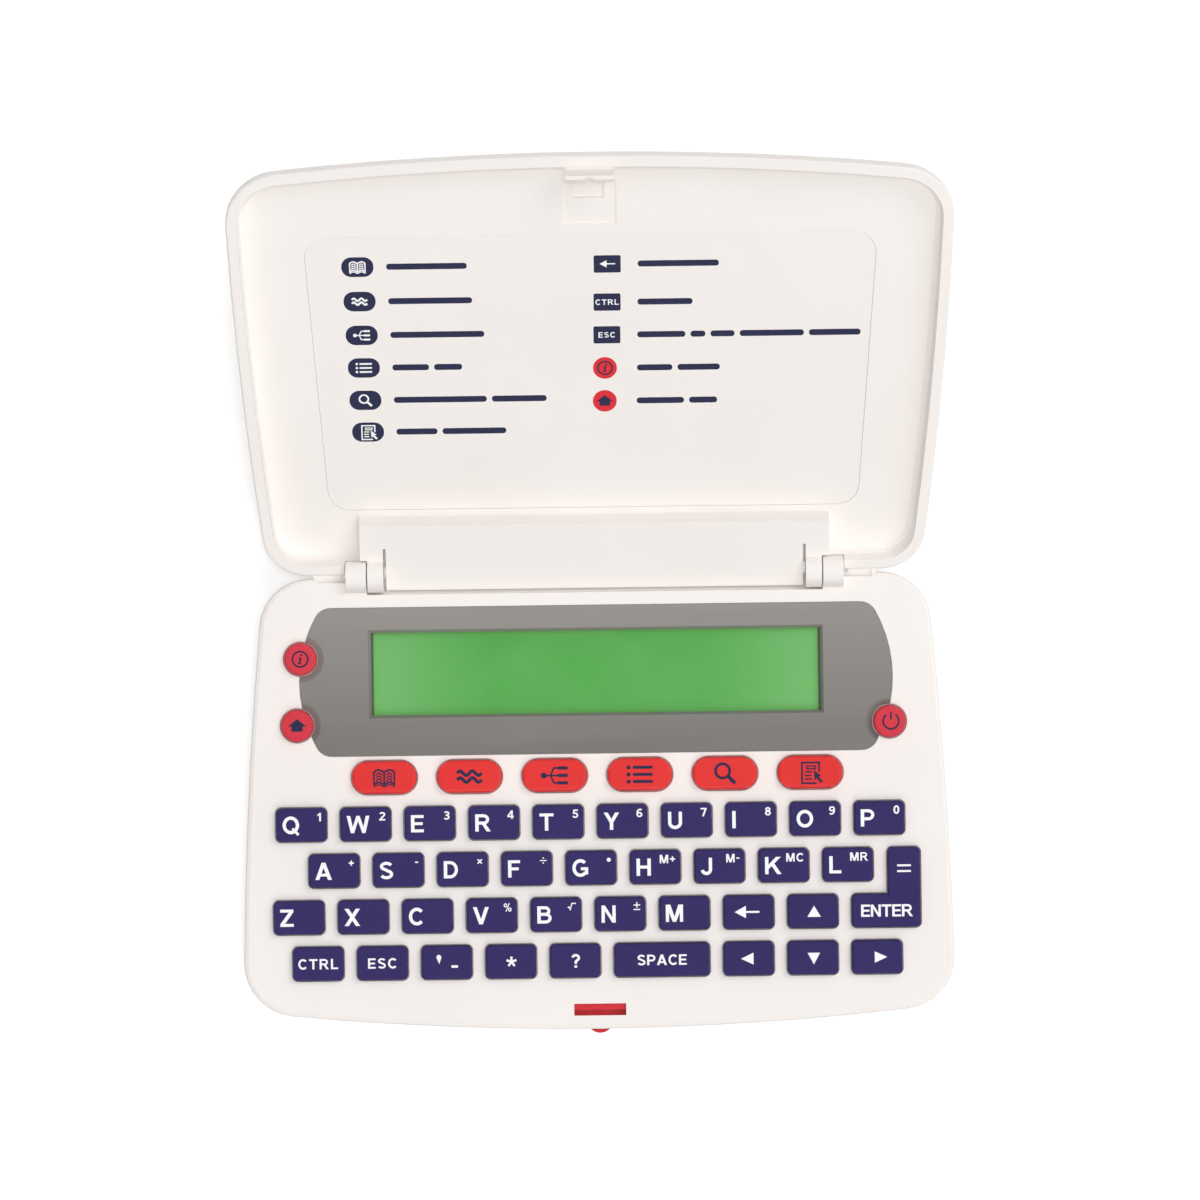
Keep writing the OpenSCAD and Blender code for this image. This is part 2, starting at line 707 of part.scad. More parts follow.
module top_case() {
    color(cream)
    difference() {
        union() {
            difference() {
                loft(base_arcs, concat(
                    [[0, seam_z]],
                    brow(deck_edge, deck_edge, base_h, edge_steps)
                ));
                plate(base_arcs, wall, seam_z - eps, deck_under);
                plate(base_arcs, wall - lip_t - drop_gap, seam_z - eps, seam_z + lip_h + drop_gap);
            }
            intersection() {
                plate(base_arcs, wall - eps, seam_z + boss_shoulder, base_h - deck_edge);
                deck_fittings();
            }
            for (p = case_screws_at)
                at(p, seam_z + drop_gap)
                    cylinder(r = boss_r - boss_neck, h = deck_under - seam_z - drop_gap);
            block(-trough_half - ear_root, trough_half + ear_root, axis_y - trough_r - trough_wall,
                rear_y - wall + eps, trough_low, deck_under + eps);
            both_sides()
                hinge_ear();
        }
        key_openings();
        plate(bezel_arcs, -drop_gap, bezel_low - seat, base_h + over);
        at([0, view_y], deck_under - over)
            linear_extrude(2 * over)
                rounded(view_w + 2 * lens_room, view_d + 2 * lens_room, lens_lap);
        tube_x(trough_r, -trough_half, trough_half);
        block(-trough_half, trough_half, axis_y, axis_y + over, axis_z - trough_r, axis_z + over);
        tube_x(pin_r + pin_gap, -ear_out - over, ear_out + over);
        for (p = case_screws_at)
            at(p, seam_z)
                cylinder(r = screw_r + screw_gap, h = head_low + screw_head_h + screw_len + end_gap - seam_z);
        at([0, front_y + window_in], deck_under - eps)
            linear_extrude(over)
                square([window_w, window_d], center = true);
        block(-ledge_half - pocket_gap, ledge_half + pocket_gap, window_front - pocket_gap,
            latch_rear + latch_travel + pocket_gap, seam_z, base_h - window_t);
        block(-tab_r - side_gap, tab_r + side_gap, front_y - over, front_y + wall + neck_root,
            tab_low - side_gap, tab_low + tab_h + side_gap);
    }
}

// Under the deck: screw bosses, frame of the window and guides of the latch
module deck_fittings() {
    for (p = case_screws_at)
        at(p, seam_z + boss_shoulder)
            cylinder(r = boss_r, h = deck_under + eps - seam_z - boss_shoulder);
    block(-view_w / 2 - frame_side, view_w / 2 + frame_side, view_y - view_d / 2 - frame_end,
        view_y + view_d / 2 + frame_end, lens_low, deck_under + eps);
    both_sides()
        block(plate_w / 2 + guide_gap, plate_w / 2 + guide_gap + guide_t, front_y + wall,
            front_y + guide_rear, plate_low, deck_under + eps);
}

// An ear of the base with its lid stop beside it
module hinge_ear() {
    stop_in = ear_out + 2 * end_gap;
    tube_x(knuckle_r, ear_in, ear_out);
    block(ear_in, ear_out, rear_y - ear_root, axis_y, axis_z - knuckle_r - ear_low, axis_z - hinge_back);
    difference() {
        block(stop_in, stop_in + stop_w, rear_y - deck_edge, axis_y + stop_reach,
            axis_z - stop_drop, axis_z - end_gap);
        opened()
            block(ear_out, stop_in + 2 * stop_w, -base_d, rear_y + seat, axis_z - over, axis_z + 2 * over);
        translate([0, axis_y + stop_reach, axis_z - stop_drop])
            rotate([45, 0, 0])
                cube([2 * base_w, stop_reach, stop_reach], center = true);
    }
}

// The bay of the cells, and the posts under the board
bay_gap = 0.25;
bay_wall = 2;
bay_r = cell_d / 2 + bay_gap;
bay_top = cell_top - 2 * side_gap;
bay_corner_r = 3;
post_r = 1.4;
post_side = 9.7;
post_out = 13.8;
post_x = base_rear_w / 2 - post_side;
posts_at = [
    [-post_x, (row_y[1] + row_y[2]) / 2], [post_x, (row_y[1] + row_y[2]) / 2],
    [-post_x, oval_y], [post_x, oval_y],
    [-door_w / 2 - post_out, view_y - view_d / 4], [door_w / 2 + post_out, view_y - view_d / 4],
    [0, (row_y[2] + row_y[3]) / 2]
];
rib_in = 4;
rib_t = 1;

module bottom_case() {
    color(cream)
    difference() {
        union() {
            difference() {
                loft(base_arcs, concat(
                    foot(belly_in, belly_up, 0, belly_steps),
                    [[0, seam_z]]
                ));
                loft(base_arcs, concat(
                    foot(max(belly_in - wall, eps), belly_up - floor_t, floor_t, edge_steps, wall),
                    [[wall, seam_z + eps]]
                ));
            }
            difference() {
                plate(base_arcs, wall - lip_t, seam_z - lip_h, seam_z + lip_h);
                plate(base_arcs, wall, seam_z - lip_h - eps, seam_z + lip_h + eps);
                block(-tab_r - 3 * side_gap, tab_r + 3 * side_gap, front_y - over, front_y + 2 * wall,
                    seam_z, seam_z + over);
                block(-base_w / 2, base_w / 2, rear_y - wall - eps, rear_y, seam_z, seam_z + over);
            }
            intersection() {
                plate(base_arcs, wall - eps, floor_t - eps, base_h);
                floor_fittings();
            }
            at([0, cell_y], floor_t - eps)
                linear_extrude(bay_top - floor_t + eps)
                    rounded(door_w + 2 * bay_wall, door_d + 2 * bay_wall, bay_corner_r);
        }
        at([0, cell_y], -eps)
            linear_extrude(cell_low - seat + eps)
                rounded(door_w + 2 * drop_gap, door_d + 2 * drop_gap, door_corner_r + drop_gap);
        for (x = [-1, 1])
            at([x * cell_pitch / 2, cell_y])
                cylinder(r = bay_r, h = seam_z + over);
        tongues(side_gap, door_low + tongue_step - drop_gap, door_t);
        at([0, door_screw_y])
            cylinder(r = screw_r + screw_gap, h = bay_top - end_gap);
        for (p = case_screws_at)
            at(p, -eps) {
                cylinder(r = screw_head_r + side_gap, h = head_low + screw_head_h + seat);
                cylinder(r = screw_r + side_gap, h = seam_z + over);
            }
    }
}

// On the floor: screw posts, board posts and the ribs that carry the latch plate
module floor_fittings() {
    for (p = case_screws_at)
        at(p, floor_t - eps)
            cylinder(r = boss_r + boss_neck, h = seam_z - floor_t + eps);
    for (p = posts_at)
        at(p, floor_t - eps)
            cylinder(r = post_r, h = board_low - seat - floor_t + eps);
    both_sides()
        block(rib_in, rib_in + rib_t, front_y + wall + end_gap, front_y + guide_rear,
            floor_t - eps, plate_low - drop_gap);
}

module display_bezel() {
    color(bezel_grey)
    difference() {
        plate(bezel_arcs, 0, bezel_low, bezel_low + bezel_t);
        at([0, view_y])
            hull() {
                translate([0, 0, bezel_low - eps])
                    linear_extrude(eps)
                        square([view_w - 2 * view_slope, view_d - 2 * view_slope], center = true);
                translate([0, 0, bezel_low + bezel_t])
                    linear_extrude(eps)
                        square([view_w, view_d], center = true);
            }
        for (b = ROUNDS) {
            at(place_of(b))
                cylinder(d = round_d + 2 * key_gap, h = base_h + over);
            at(place_of(b), bezel_low + bezel_t - dimple_t)
                cylinder(r1 = round_d / 2 + key_gap, r2 = dimple_r, h = dimple_t + eps);
        }
    }
}

module display_window() {
    color([0.85, 0.93, 0.85, 0.4])
    at([0, view_y], lens_low)
        linear_extrude(lens_t)
            rounded(view_w + 2 * lens_lap, view_d + 2 * lens_lap, lens_lap - drop_gap);
}

// Two panes of glass, the lower one with an open ledge for the contacts
module lcd_panel() {
    color(lcd_green)
    at([0, view_y], board_top + seat) {
        linear_extrude((lcd_top - board_top) / 2)
            square([lcd_w, lcd_d], center = true);
        linear_extrude(lcd_top - board_top - seat)
            translate([0, lcd_ledge / 2])
                square([lcd_w, lcd_d - lcd_ledge], center = true);
    }
}

// The chip hangs under the board in a blob of resin, turned from a flat arc. The two battery
// contacts are soldered on beside it. Along a leaf lie its end, its bends, its crest and its toe.
contact_t = 0.25;
contact_w = 4;
leaf_at = [for (share = [-0.5, -0.2, 0.12, 0.26, 0.4]) share * cell_d / 2];
toe_rise = 0.7;
leaf_shift = [0, -0.2, -0.1, 0.1, 0];
chip_left = 24;
chip_r = 4.5;
chip_h = 1.4;
blob_r = (chip_r * chip_r + chip_h * chip_h) / (2 * chip_h);

module circuit_board() {
    color([0.16, 0.42, 0.24])
        inner_plate(board_side, base_w / 2, board_front, board_rear, board_low, board_top);
    color([0.08, 0.08, 0.09])
        at([-chip_left, (row_y[2] + row_y[3]) / 2], board_low - chip_h + blob_r)
            intersection() {
                rotate_extrude()
                    intersection() {
                        circle(blob_r);
                        translate([0, -2 * blob_r])
                            square(2 * blob_r);
                    }
                translate([0, 0, -blob_r])
                    cylinder(r = chip_r, h = chip_h + eps);
            }
    color([0.75, 0.72, 0.6])
        for (x = [-1, 1])
            at([x * cell_pitch / 2, cell_y])
                rotate([90, 0, 0])
                    linear_extrude(contact_w, center = true)
                        leaf_contact();
}

// Side view of a bent leaf: flat under the board, sloping down to a crest on the cell
module leaf_contact() {
    crest = cell_top + seat;
    solder = board_low + eps;
    upper = [solder, solder, crest + contact_t, crest + contact_t, crest + toe_rise + contact_t];
    lower = [board_low - contact_t, board_low - contact_t, crest, crest, crest + toe_rise];
    last = len(leaf_at) - 1;
    polygon(concat(
        [for (i = [0:last]) [leaf_at[i], upper[i]]],
        [for (i = [last:-1:0]) [leaf_at[i] + leaf_shift[i], lower[i]]]
    ));
}

module dome(p) {
    at(p, sheet_top - eps)
        cylinder(r1 = dome_r, r2 = dome_top_r, h = dome_h + eps);
}

// The key sheet lies on the board under all keys, with a wing each side of the display
sheet_in = board_front + side_gap;
sheet_past = 1;

module keypad_membrane() {
    sheet_rear = rear_y - oval_y - oval_d / 2 - sheet_past;
    wing_w = base_w / 2 - lcd_w / 2 - bay_wall;
    color([0.75, 0.75, 0.77])
    union() {
        inner_plate(board_side, base_w / 2, sheet_in, sheet_rear, sheet_low, sheet_top);
        inner_plate(board_side, wing_w, sheet_in, board_rear + 3 * side_gap, sheet_low, sheet_top);
        for (k = KEYS, p = domes_of(k))
            dome(place_of(k) + p);
        for (p = enter_domes)
            dome(enter_foot + p);
        for (b = ROUNDS)
            dome(place_of(b));
    }
}

// Each cell is a can over a narrower cap
cap_in = 1;
cap_h = 0.7;

module coin_cells() {
    color([0.78, 0.79, 0.8])
    for (x = [-1, 1])
        at([x * cell_pitch / 2, cell_y], cell_low) {
            translate([0, 0, cap_h])
                cylinder(d = cell_d, h = cell_h - cap_h);
            cylinder(d = cell_d - 2 * cap_in, h = cell_h / 2);
        }
}

// The battery door: two tongues in front, a screw behind and grip slots between
door_corner_r = 1.9;
tongue_x = 13;
tongue_step = 0.4;
tongue_root = 1;
grips_half = 2;
grip_w = 0.7;
grip_pitch = 1.6;
grip_len = 4;
grip_deep = 0.3;

module tongues(grow, low, height) {
    for (x = [-1, 1])
        at([x * tongue_x, cell_y - door_d / 2 - tongue_out / 2], low)
            linear_extrude(height)
                square([tongue_w + 2 * grow, tongue_out + tongue_root + 2 * grow], center = true);
}

module battery_door() {
    color(cream)
    difference() {
        union() {
            at([0, cell_y], door_low)
                linear_extrude(door_t)
                    rounded(door_w, door_d, door_corner_r);
            tongues(0, door_low + tongue_step, door_t - tongue_step);
        }
        at([0, door_screw_y], -eps) {
            cylinder(r = screw_r + side_gap, h = over);
            cylinder(r = screw_head_r + side_gap, h = door_head_low + door_head_h);
        }
        for (i = [-grips_half:grips_half])
            at([i * grip_pitch, cell_y - door_d / 2 + grip_len], door_low - eps)
                linear_extrude(grip_deep)
                    square([grip_w, grip_len], center = true);
    }
}

// A pan head with a cross recess on a plain shank, pointing up
cross_w = 0.5;
cross_deep = 0.45;

module screw(head_h, len) {
    difference() {
        union() {
            cylinder(r = screw_head_r, h = head_h);
            cylinder(r = screw_r, h = head_h + len);
        }
        for (a = [0, 90])
            rotate(a)
                cube([2 * screw_r, cross_w, 2 * cross_deep], center = true);
    }
}

module case_screws() {
    color([0.7, 0.7, 0.72]) {
        for (p = case_screws_at)
            at(p, head_low)
                screw(screw_head_h, screw_len);
        at([0, door_screw_y], door_head_low)
            screw(door_head_h - seat, door_screw_len);
    }
}

// A key stands on its flange and is hollow over its domes
module hollows(domes) {
    for (p = domes)
        at(p, -eps)
            cylinder(r = hollow_r, h = hollow_top - flange_low + eps);
}

module keycap(k) {
    w = size_of(k).x;
    d = size_of(k).y;
    r = corner_of(k);
    color(colour_of(k))
    at(place_of(k), flange_low)
        difference() {
            union() {
                cap(w, d, base_h + rise_of(k) - flange_low, r, edge_of(k));
                linear_extrude(flange_t)
                    rounded(w + 2 * flange_w, d + 2 * flange_w, r + flange_w);
            }
            hollows(domes_of(k));
        }
}

module key_enter() {
    stem = enter_stem - enter_foot;
    height = base_h + key_rise - flange_low;
    color(navy)
    at(enter_foot, flange_low)
        difference() {
            union() {
                cap(enter_w, key_d, height, key_r, key_edge);
                at(stem)
                    cap(stem_w, enter_stem_d, height, key_r, key_edge);
                linear_extrude(flange_t) {
                    rounded(enter_w + 2 * flange_w, key_d + 2 * flange_w, key_r + flange_w);
                    translate(stem)
                        rounded(stem_w + 2 * flange_w, enter_stem_d + 2 * flange_w, key_r + flange_w);
                }
            }
            hollows(enter_domes);
        }
}

// A round button, turned: flange, stem and rounded top
module round_button(b) {
    r = round_d / 2;
    top = base_h + round_rise - flange_low;
    color(red)
    at(place_of(b), flange_low)
        difference() {
            rotate_extrude()
                union() {
                    square([r + flange_w, flange_t]);
                    square([r, top - round_edge]);
                    square([r - round_edge, top]);
                    translate([r - round_edge, top - round_edge])
                        circle(round_edge);
                }
            hollows(one_dome);
        }
}

module card_outline(grow) {
    offset(r = grow)
        hull()
            for (s = [-1, 1]) {
                translate([s * (card_near_w / 2 - card_r), axis_y - card_near - card_r])
                    circle(card_r);
                translate([s * (card_w / 2 - card_r), front_y + card_front + card_r])
                    circle(card_r);
            }
}

module legend_card() {
    color(card_cream)
    opened()
        translate([0, 0, lid_floor + card_sink - card_t - seat])
            linear_extrude(card_t)
                card_outline(0);
}

// A shallow field behind the latch hook, with a deeper slot in it
field_front = 6.2;
field_rear = 14.4;
field_side = 0.4;
field_deep = 0.3;
slot_front = field_front + field_side / 2;
slot_d = 3.2;
slot_w = 5;
slot_deep = 0.9;
notch_deep = 0.35;
notch_rise = 1;
relief_gap = 0.3;
slit_rise = 2.7;
barb_nose = 0.56;

// The lid, drawn closed and then turned open
module lid_shell() {
    relief_r = knuckle_r + relief_gap;
    arm_in = hinge_len / 2 - arm_w;
    color(cream)
    opened()
        difference() {
            union() {
                difference() {
                    lid_skin();
                    lid_hollow();
                }
                lid_hinge(arm_in);
                lid_hook();
            }
            translate([0, 0, lid_floor - eps])
                linear_extrude(card_sink + eps)
                    card_outline(seat);
            both_sides() {
                tube_x(relief_r, ear_in - run_gap, ear_out + side_gap);
                block(ear_in - run_gap, ear_out + side_gap, rear_y - 3 * side_gap, axis_y + over,
                    axis_z - over, axis_z + relief_r);
                block(arm_in - slit_w, arm_in, axis_y - slit_len, axis_y + over, axis_z - over,
                    rim_z + slit_rise);
            }
            block(-slot_w / 2, slot_w / 2, front_y + slot_front, front_y + slot_front + slot_d,
                lid_floor - eps, lid_floor + slot_deep);
            block(-hook_w / 2 - field_side, hook_w / 2 + field_side, front_y + field_front,
                front_y + field_rear, lid_floor - eps, lid_floor + field_deep);
        }
}

module lid_skin() {
    rim_edge = 0.3;
    loft(lid_arcs, concat(
        [[rim_edge, rim_z], [0, rim_z + rim_edge]],
        brow(crown_in, crown_down, lid_top, crown_steps)
    ));
}

module lid_hollow() {
    difference() {
        loft(lid_arcs, concat(
            [[lid_rim, rim_z - eps]],
            brow(lid_fillet, lid_fillet, lid_floor, edge_steps, lid_rim)
        ));
        block(-hinge_len / 2 - bar_side, hinge_len / 2 + bar_side, axis_y - bar_d, rear_y,
            rim_z - over, lid_top);
    }
}

// The hinge: a half-round bar between two full arms that carry the stub pins
module lid_hinge(arm_in) {
    difference() {
        tube_x(knuckle_r, -hinge_len / 2, hinge_len / 2);
        block(-arm_in + eps, arm_in - eps, axis_y - over, axis_y + over, axis_z - over, rim_z);
    }
    both_sides()
        tube_x(pin_r, hinge_len / 2 - eps, hinge_len / 2 + pin_len);
}

// The hook: a post beyond the rim with a barb towards the hinge, notched in the middle
module lid_hook() {
    block(-hook_w / 2, hook_w / 2, front_y + lid_rim - end_gap, hook_rear, rim_z + side_gap,
        lid_floor + eps);
    difference() {
        translate([-hook_w / 2, 0, 0])
            rotate([90, 0, 90])
                linear_extrude(hook_w)
                    polygon([
                        [hook_front, lid_floor], [hook_front, hook_tip], [hook_rear, hook_tip],
                        [hook_rear + barb, hook_tip + barb_nose], [hook_rear + barb, barb_top],
                        [hook_rear, barb_top], [hook_rear, lid_floor]
                    ]);
        block(-hook_notch / 2, hook_notch / 2, hook_rear - notch_deep, hook_rear + over,
            hook_tip - over, barb_top + notch_rise);
    }
}

// The latch slide: push tab, plate, catch ledge over the barb, and two spring legs
module latch_button() {
    leg_rise = 0.6;
    color(red)
    union() {
        intersection() {
            translate([0, front_y - tab_out + tab_r, tab_low])
                cylinder(r = tab_r, h = tab_h);
            block(-tab_r, tab_r, front_y - over, front_y + wall - seat, 0, base_h);
        }
        block(end_gap - tab_r, tab_r - end_gap, front_y + leg_rise, front_y + wall + neck_root,
            plate_low, plate_top);
        block(-plate_w / 2, plate_w / 2, front_y + wall + drop_gap, latch_rear, plate_low, plate_top);
        block(-ledge_half, ledge_half, latch_rear - ledge_web, latch_rear, plate_low, ledge_top);
        block(-ledge_half, ledge_half, ledge_front, latch_rear, ledge_low, ledge_top);
        both_sides()
            translate([0, 0, plate_low])
                linear_extrude(plate_t)
                    polygon([
                        [plate_w / 2 - eps, latch_rear - leg_t], [plate_w / 2 - eps, latch_rear],
                        [leg_span, latch_rear + leg_rise], [leg_span, latch_rear + leg_rise - leg_t]
                    ]);
    }
}

top_case();
bottom_case();
display_bezel();
display_window();
lcd_panel();
circuit_board();
keypad_membrane();
coin_cells();
battery_door();
case_screws();
lid_shell();
legend_card();
latch_button();
key_enter();
for (k = KEYS)
    keycap(k);
for (b = ROUNDS)
    round_button(b);
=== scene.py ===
"""Looks of a pocket electronic dictionary that lies open on a white table.

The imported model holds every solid. This script gives each one its finish, prints the keys and
the card in the lid, and adds studio light and the photograph's camera. Places on a key or on
the card are in millimetres; everything in the scene is in metres.
"""

import json
import math

import bmesh
import bpy
from mathutils import Matrix, Vector
from mathutils.geometry import delaunay_2d_cdt


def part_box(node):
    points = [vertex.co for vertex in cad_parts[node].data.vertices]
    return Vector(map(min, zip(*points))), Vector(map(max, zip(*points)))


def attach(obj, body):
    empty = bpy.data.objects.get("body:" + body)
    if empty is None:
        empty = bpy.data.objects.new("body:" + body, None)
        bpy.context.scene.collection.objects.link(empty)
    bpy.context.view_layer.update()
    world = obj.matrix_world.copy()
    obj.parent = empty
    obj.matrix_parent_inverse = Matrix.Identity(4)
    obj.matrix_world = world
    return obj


MM = 0.001
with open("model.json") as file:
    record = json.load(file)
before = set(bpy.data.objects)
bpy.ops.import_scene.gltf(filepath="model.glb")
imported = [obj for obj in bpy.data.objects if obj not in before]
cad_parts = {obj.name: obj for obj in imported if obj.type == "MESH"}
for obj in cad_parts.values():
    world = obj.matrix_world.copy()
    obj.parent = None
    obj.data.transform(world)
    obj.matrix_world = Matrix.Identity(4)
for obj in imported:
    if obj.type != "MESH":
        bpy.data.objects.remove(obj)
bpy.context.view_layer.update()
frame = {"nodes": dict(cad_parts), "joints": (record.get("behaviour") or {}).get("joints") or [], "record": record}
nodes = frame["nodes"]


def srgb(red, green, blue):
    """Linear colour of an 8-bit sRGB one."""
    values = []
    for value in (red / 255, green / 255, blue / 255):
        values.append(value / 12.92 if value <= 0.04045 else ((value + 0.055) / 1.055) ** 2.4)
    return (*values, 1)


# Camera: straight over the object, which lies a little turned in the photograph

DECK_Z = 10.5 * MM
CAMERA_HEIGHT = 1.2
CAMERA_OVER = (0.9 * MM, 35.8 * MM)
CAMERA_ROLL = math.radians(-0.744)
LENS = 203.2


def add_camera():
    data = bpy.data.cameras.new("camera")
    data.lens = LENS
    data.sensor_width = 36
    data.clip_start = 0.01
    data.clip_end = 20
    camera = bpy.data.objects.new("camera", data)
    camera.location = (*CAMERA_OVER, DECK_Z + CAMERA_HEIGHT)
    camera.rotation_euler = (0, 0, CAMERA_ROLL)
    bpy.context.scene.collection.objects.link(camera)
    bpy.context.scene.camera = camera


# Light and floor

WORLD_LIGHT = 0.35
FLOOR_HALF = 6
FLOOR_WHITE = 0.9
FLOOR_ROUGHNESS = 0.9
FLOOR_GLOW = 0.36
FAR_GLOW = 0.8
GLOW_RISES = (0.8, 3)

# Name, place, side, power in watts, and whether gloss mirrors it
LAMPS = [
    ("top_light", (0.05, 0.06, 2), 0.4, 11, False),
    ("key_light", (1.1, 0.8, 1.7), 1.1, 12.5, True),
    ("fill_light", (0.4, -1.05, 1.6), 1.2, 9, True),
]


def add_softbox(name, place, size, power, mirrored):
    """Square soft light aimed at the object, which gloss may or may not mirror."""
    data = bpy.data.lights.new(name, "AREA")
    data.shape = "SQUARE"
    data.size = size
    data.energy = power
    lamp = bpy.data.objects.new(name, data)
    lamp.location = place
    lamp.visible_glossy = mirrored
    lamp.rotation_euler = (-Vector(place)).to_track_quat("-Z", "Y").to_euler()
    bpy.context.scene.collection.objects.link(lamp)


def seen(tree):
    """1 for what the camera, gloss or glass sees, and 0 for what only lights the object."""
    paths = tree.nodes.new("ShaderNodeLightPath")
    value = paths.outputs["Is Camera Ray"]
    for name in ("Is Glossy Ray", "Is Transmission Ray"):
        either = tree.nodes.new("ShaderNodeMath")
        either.operation = "MAXIMUM"
        tree.links.new(value, either.inputs[0])
        tree.links.new(paths.outputs[name], either.inputs[1])
        value = either.outputs[0]
    return value


def add_world():
    """Pale studio: white where it is seen, dimmer as a light."""
    world = bpy.data.worlds.new("studio")
    world.use_nodes = True
    tree = world.node_tree
    back = tree.nodes["Background"]
    back.inputs["Color"].default_value = (1, 1, 1, 1)
    tree.links.new(ramp(tree, seen(tree), 0, 1, WORLD_LIGHT, 1), back.inputs["Strength"])
    bpy.context.scene.world = world


def add_floor():
    """White table that keeps the object's soft shadow and stays white far off."""
    half = FLOOR_HALF
    mesh = bpy.data.meshes.new("floor")
    corners = [(-half, -half, 0), (half, -half, 0), (half, half, 0), (-half, half, 0)]
    mesh.from_pydata(corners, [], [(0, 1, 2, 3)])
    floor = bpy.data.objects.new("floor", mesh)
    bpy.context.scene.collection.objects.link(floor)
    material, shader = new_material("floor", FLOOR_ROUGHNESS)
    tree = material.node_tree
    shader.inputs["Base Color"].default_value = (FLOOR_WHITE, FLOOR_WHITE, FLOOR_WHITE, 1)
    shader.inputs["Emission Color"].default_value = (1, 1, 1, 1)
    place = tree.nodes.new("ShaderNodeTexCoord")
    distance = tree.nodes.new("ShaderNodeVectorMath")
    distance.operation = "LENGTH"
    tree.links.new(place.outputs["Object"], distance.inputs[0])
    glow = tree.nodes.new("ShaderNodeMath")
    glow.operation = "MULTIPLY"
    tree.links.new(seen(tree), glow.inputs[0])
    rise = ramp(tree, distance.outputs["Value"], *GLOW_RISES, FLOOR_GLOW, FAR_GLOW)
    tree.links.new(rise, glow.inputs[1])
    tree.links.new(glow.outputs[0], shader.inputs["Emission Strength"])
    mesh.materials.append(material)


# Materials: noise scales are in cells to the metre

GRAIN_HEIGHT = 0.02 * MM
COLOUR_STEP = 0.04 * MM


def new_material(name, roughness, specular=0.5):
    material = bpy.data.materials.new(name)
    material.use_nodes = True
    shader = material.node_tree.nodes["Principled BSDF"]
    shader.inputs["Roughness"].default_value = roughness
    shader.inputs["Specular IOR Level"].default_value = specular
    return material, shader


def add_noise(tree, scale, detail, stretch=(1, 1, 1)):
    """Noise over the object's own places, so many cells to the metre."""
    place = tree.nodes.new("ShaderNodeTexCoord")
    mapping = tree.nodes.new("ShaderNodeMapping")
    mapping.inputs["Scale"].default_value = stretch
    noise = tree.nodes.new("ShaderNodeTexNoise")
    noise.inputs["Scale"].default_value = scale
    noise.inputs["Detail"].default_value = detail
    tree.links.new(place.outputs["Object"], mapping.inputs["Vector"])
    tree.links.new(mapping.outputs["Vector"], noise.inputs["Vector"])
    return noise.outputs["Fac"]


def ramp(tree, value, start, end, low, high):
    """Value that runs from low to high as another goes from start to end."""
    remap = tree.nodes.new("ShaderNodeMapRange")
    remap.inputs["From Min"].default_value = start
    remap.inputs["From Max"].default_value = end
    remap.inputs["To Min"].default_value = low
    remap.inputs["To Max"].default_value = high
    tree.links.new(value, remap.inputs["Value"])
    return remap.outputs["Result"]


def along(tree, axis):
    """The object's own place along X, Y or Z, in metres."""
    place = tree.nodes.new("ShaderNodeTexCoord")
    parts = tree.nodes.new("ShaderNodeSeparateXYZ")
    tree.links.new(place.outputs["Object"], parts.inputs["Vector"])
    return parts.outputs[axis]


def mix_colours(tree, factor, first, second):
    """Mix of two colours, each a value or a socket."""
    mix = tree.nodes.new("ShaderNodeMix")
    mix.data_type = "RGBA"
    tree.links.new(factor, mix.inputs["Factor"])
    colours = [s for s in mix.inputs if s.type == "RGBA"]
    for socket, colour in zip(colours, (first, second)):
        if isinstance(colour, bpy.types.NodeSocket):
            tree.links.new(colour, socket)
        else:
            socket.default_value = colour
    return next(s for s in mix.outputs if s.type == "RGBA")


def add_bump(tree, shader, height, strength):
    bump = tree.nodes.new("ShaderNodeBump")
    bump.inputs["Strength"].default_value = strength
    bump.inputs["Distance"].default_value = GRAIN_HEIGHT
    tree.links.new(height, bump.inputs["Height"])
    tree.links.new(bump.outputs["Normal"], shader.inputs["Normal"])


def moulded(name, colour, shade, roughness, grain, depth, specular=0.5, foot=None):
    """Moulded plastic: faint clouds in its colour, uneven gloss and a fine grain.

    A foot is the colour of the piece below a height, such as a key's flange.
    """
    material, shader = new_material(name, roughness, specular)
    tree = material.node_tree
    clouds = ramp(tree, add_noise(tree, 45, 4), 0.3, 0.7, 0, 1)
    body = mix_colours(tree, clouds, colour, shade)
    if foot:
        height, below = foot
        above = ramp(tree, along(tree, "Z"), height, height + COLOUR_STEP, 0, 1)
        body = mix_colours(tree, above, below, body)
    tree.links.new(body, shader.inputs["Base Color"])
    gloss = ramp(tree, add_noise(tree, 140, 3), 0.3, 0.7, roughness - 0.06, roughness + 0.06)
    tree.links.new(gloss, shader.inputs["Roughness"])
    add_bump(tree, shader, add_noise(tree, grain, 2), depth)
    return material


SILL = srgb(38, 76, 34)


def make_bezel():
    """Satin grey with painted shade that darkens it towards the keys, and a green tint on the sill under the
    window.
    """
    material, shader = new_material("bezel", 0.46, 0.45)
    tree = material.node_tree
    low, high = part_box("display_bezel")
    # Painted shade: the grey runs from darker near the keys to lighter away from them, as light falls in the photo
    slope = ramp(tree, along(tree, "Y"), low.y, high.y, 0, 1)
    body = mix_colours(tree, slope, srgb(113, 111, 107), srgb(146, 142, 138))
    streaks = ramp(tree, add_noise(tree, 260, 4, (0.12, 1, 1)), 0.35, 0.75, 0, 0.35)
    body = mix_colours(tree, streaks, body, srgb(133, 130, 126))
    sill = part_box("display_window")[0].z
    above = ramp(tree, along(tree, "Z"), sill, sill + COLOUR_STEP, 0, 1)
    tree.links.new(mix_colours(tree, above, SILL, body), shader.inputs["Base Color"])
    gloss = ramp(tree, add_noise(tree, 160, 3), 0.3, 0.7, 0.4, 0.52)
    tree.links.new(gloss, shader.inputs["Roughness"])
    add_bump(tree, shader, add_noise(tree, 5200, 2), 0.3)
    return material


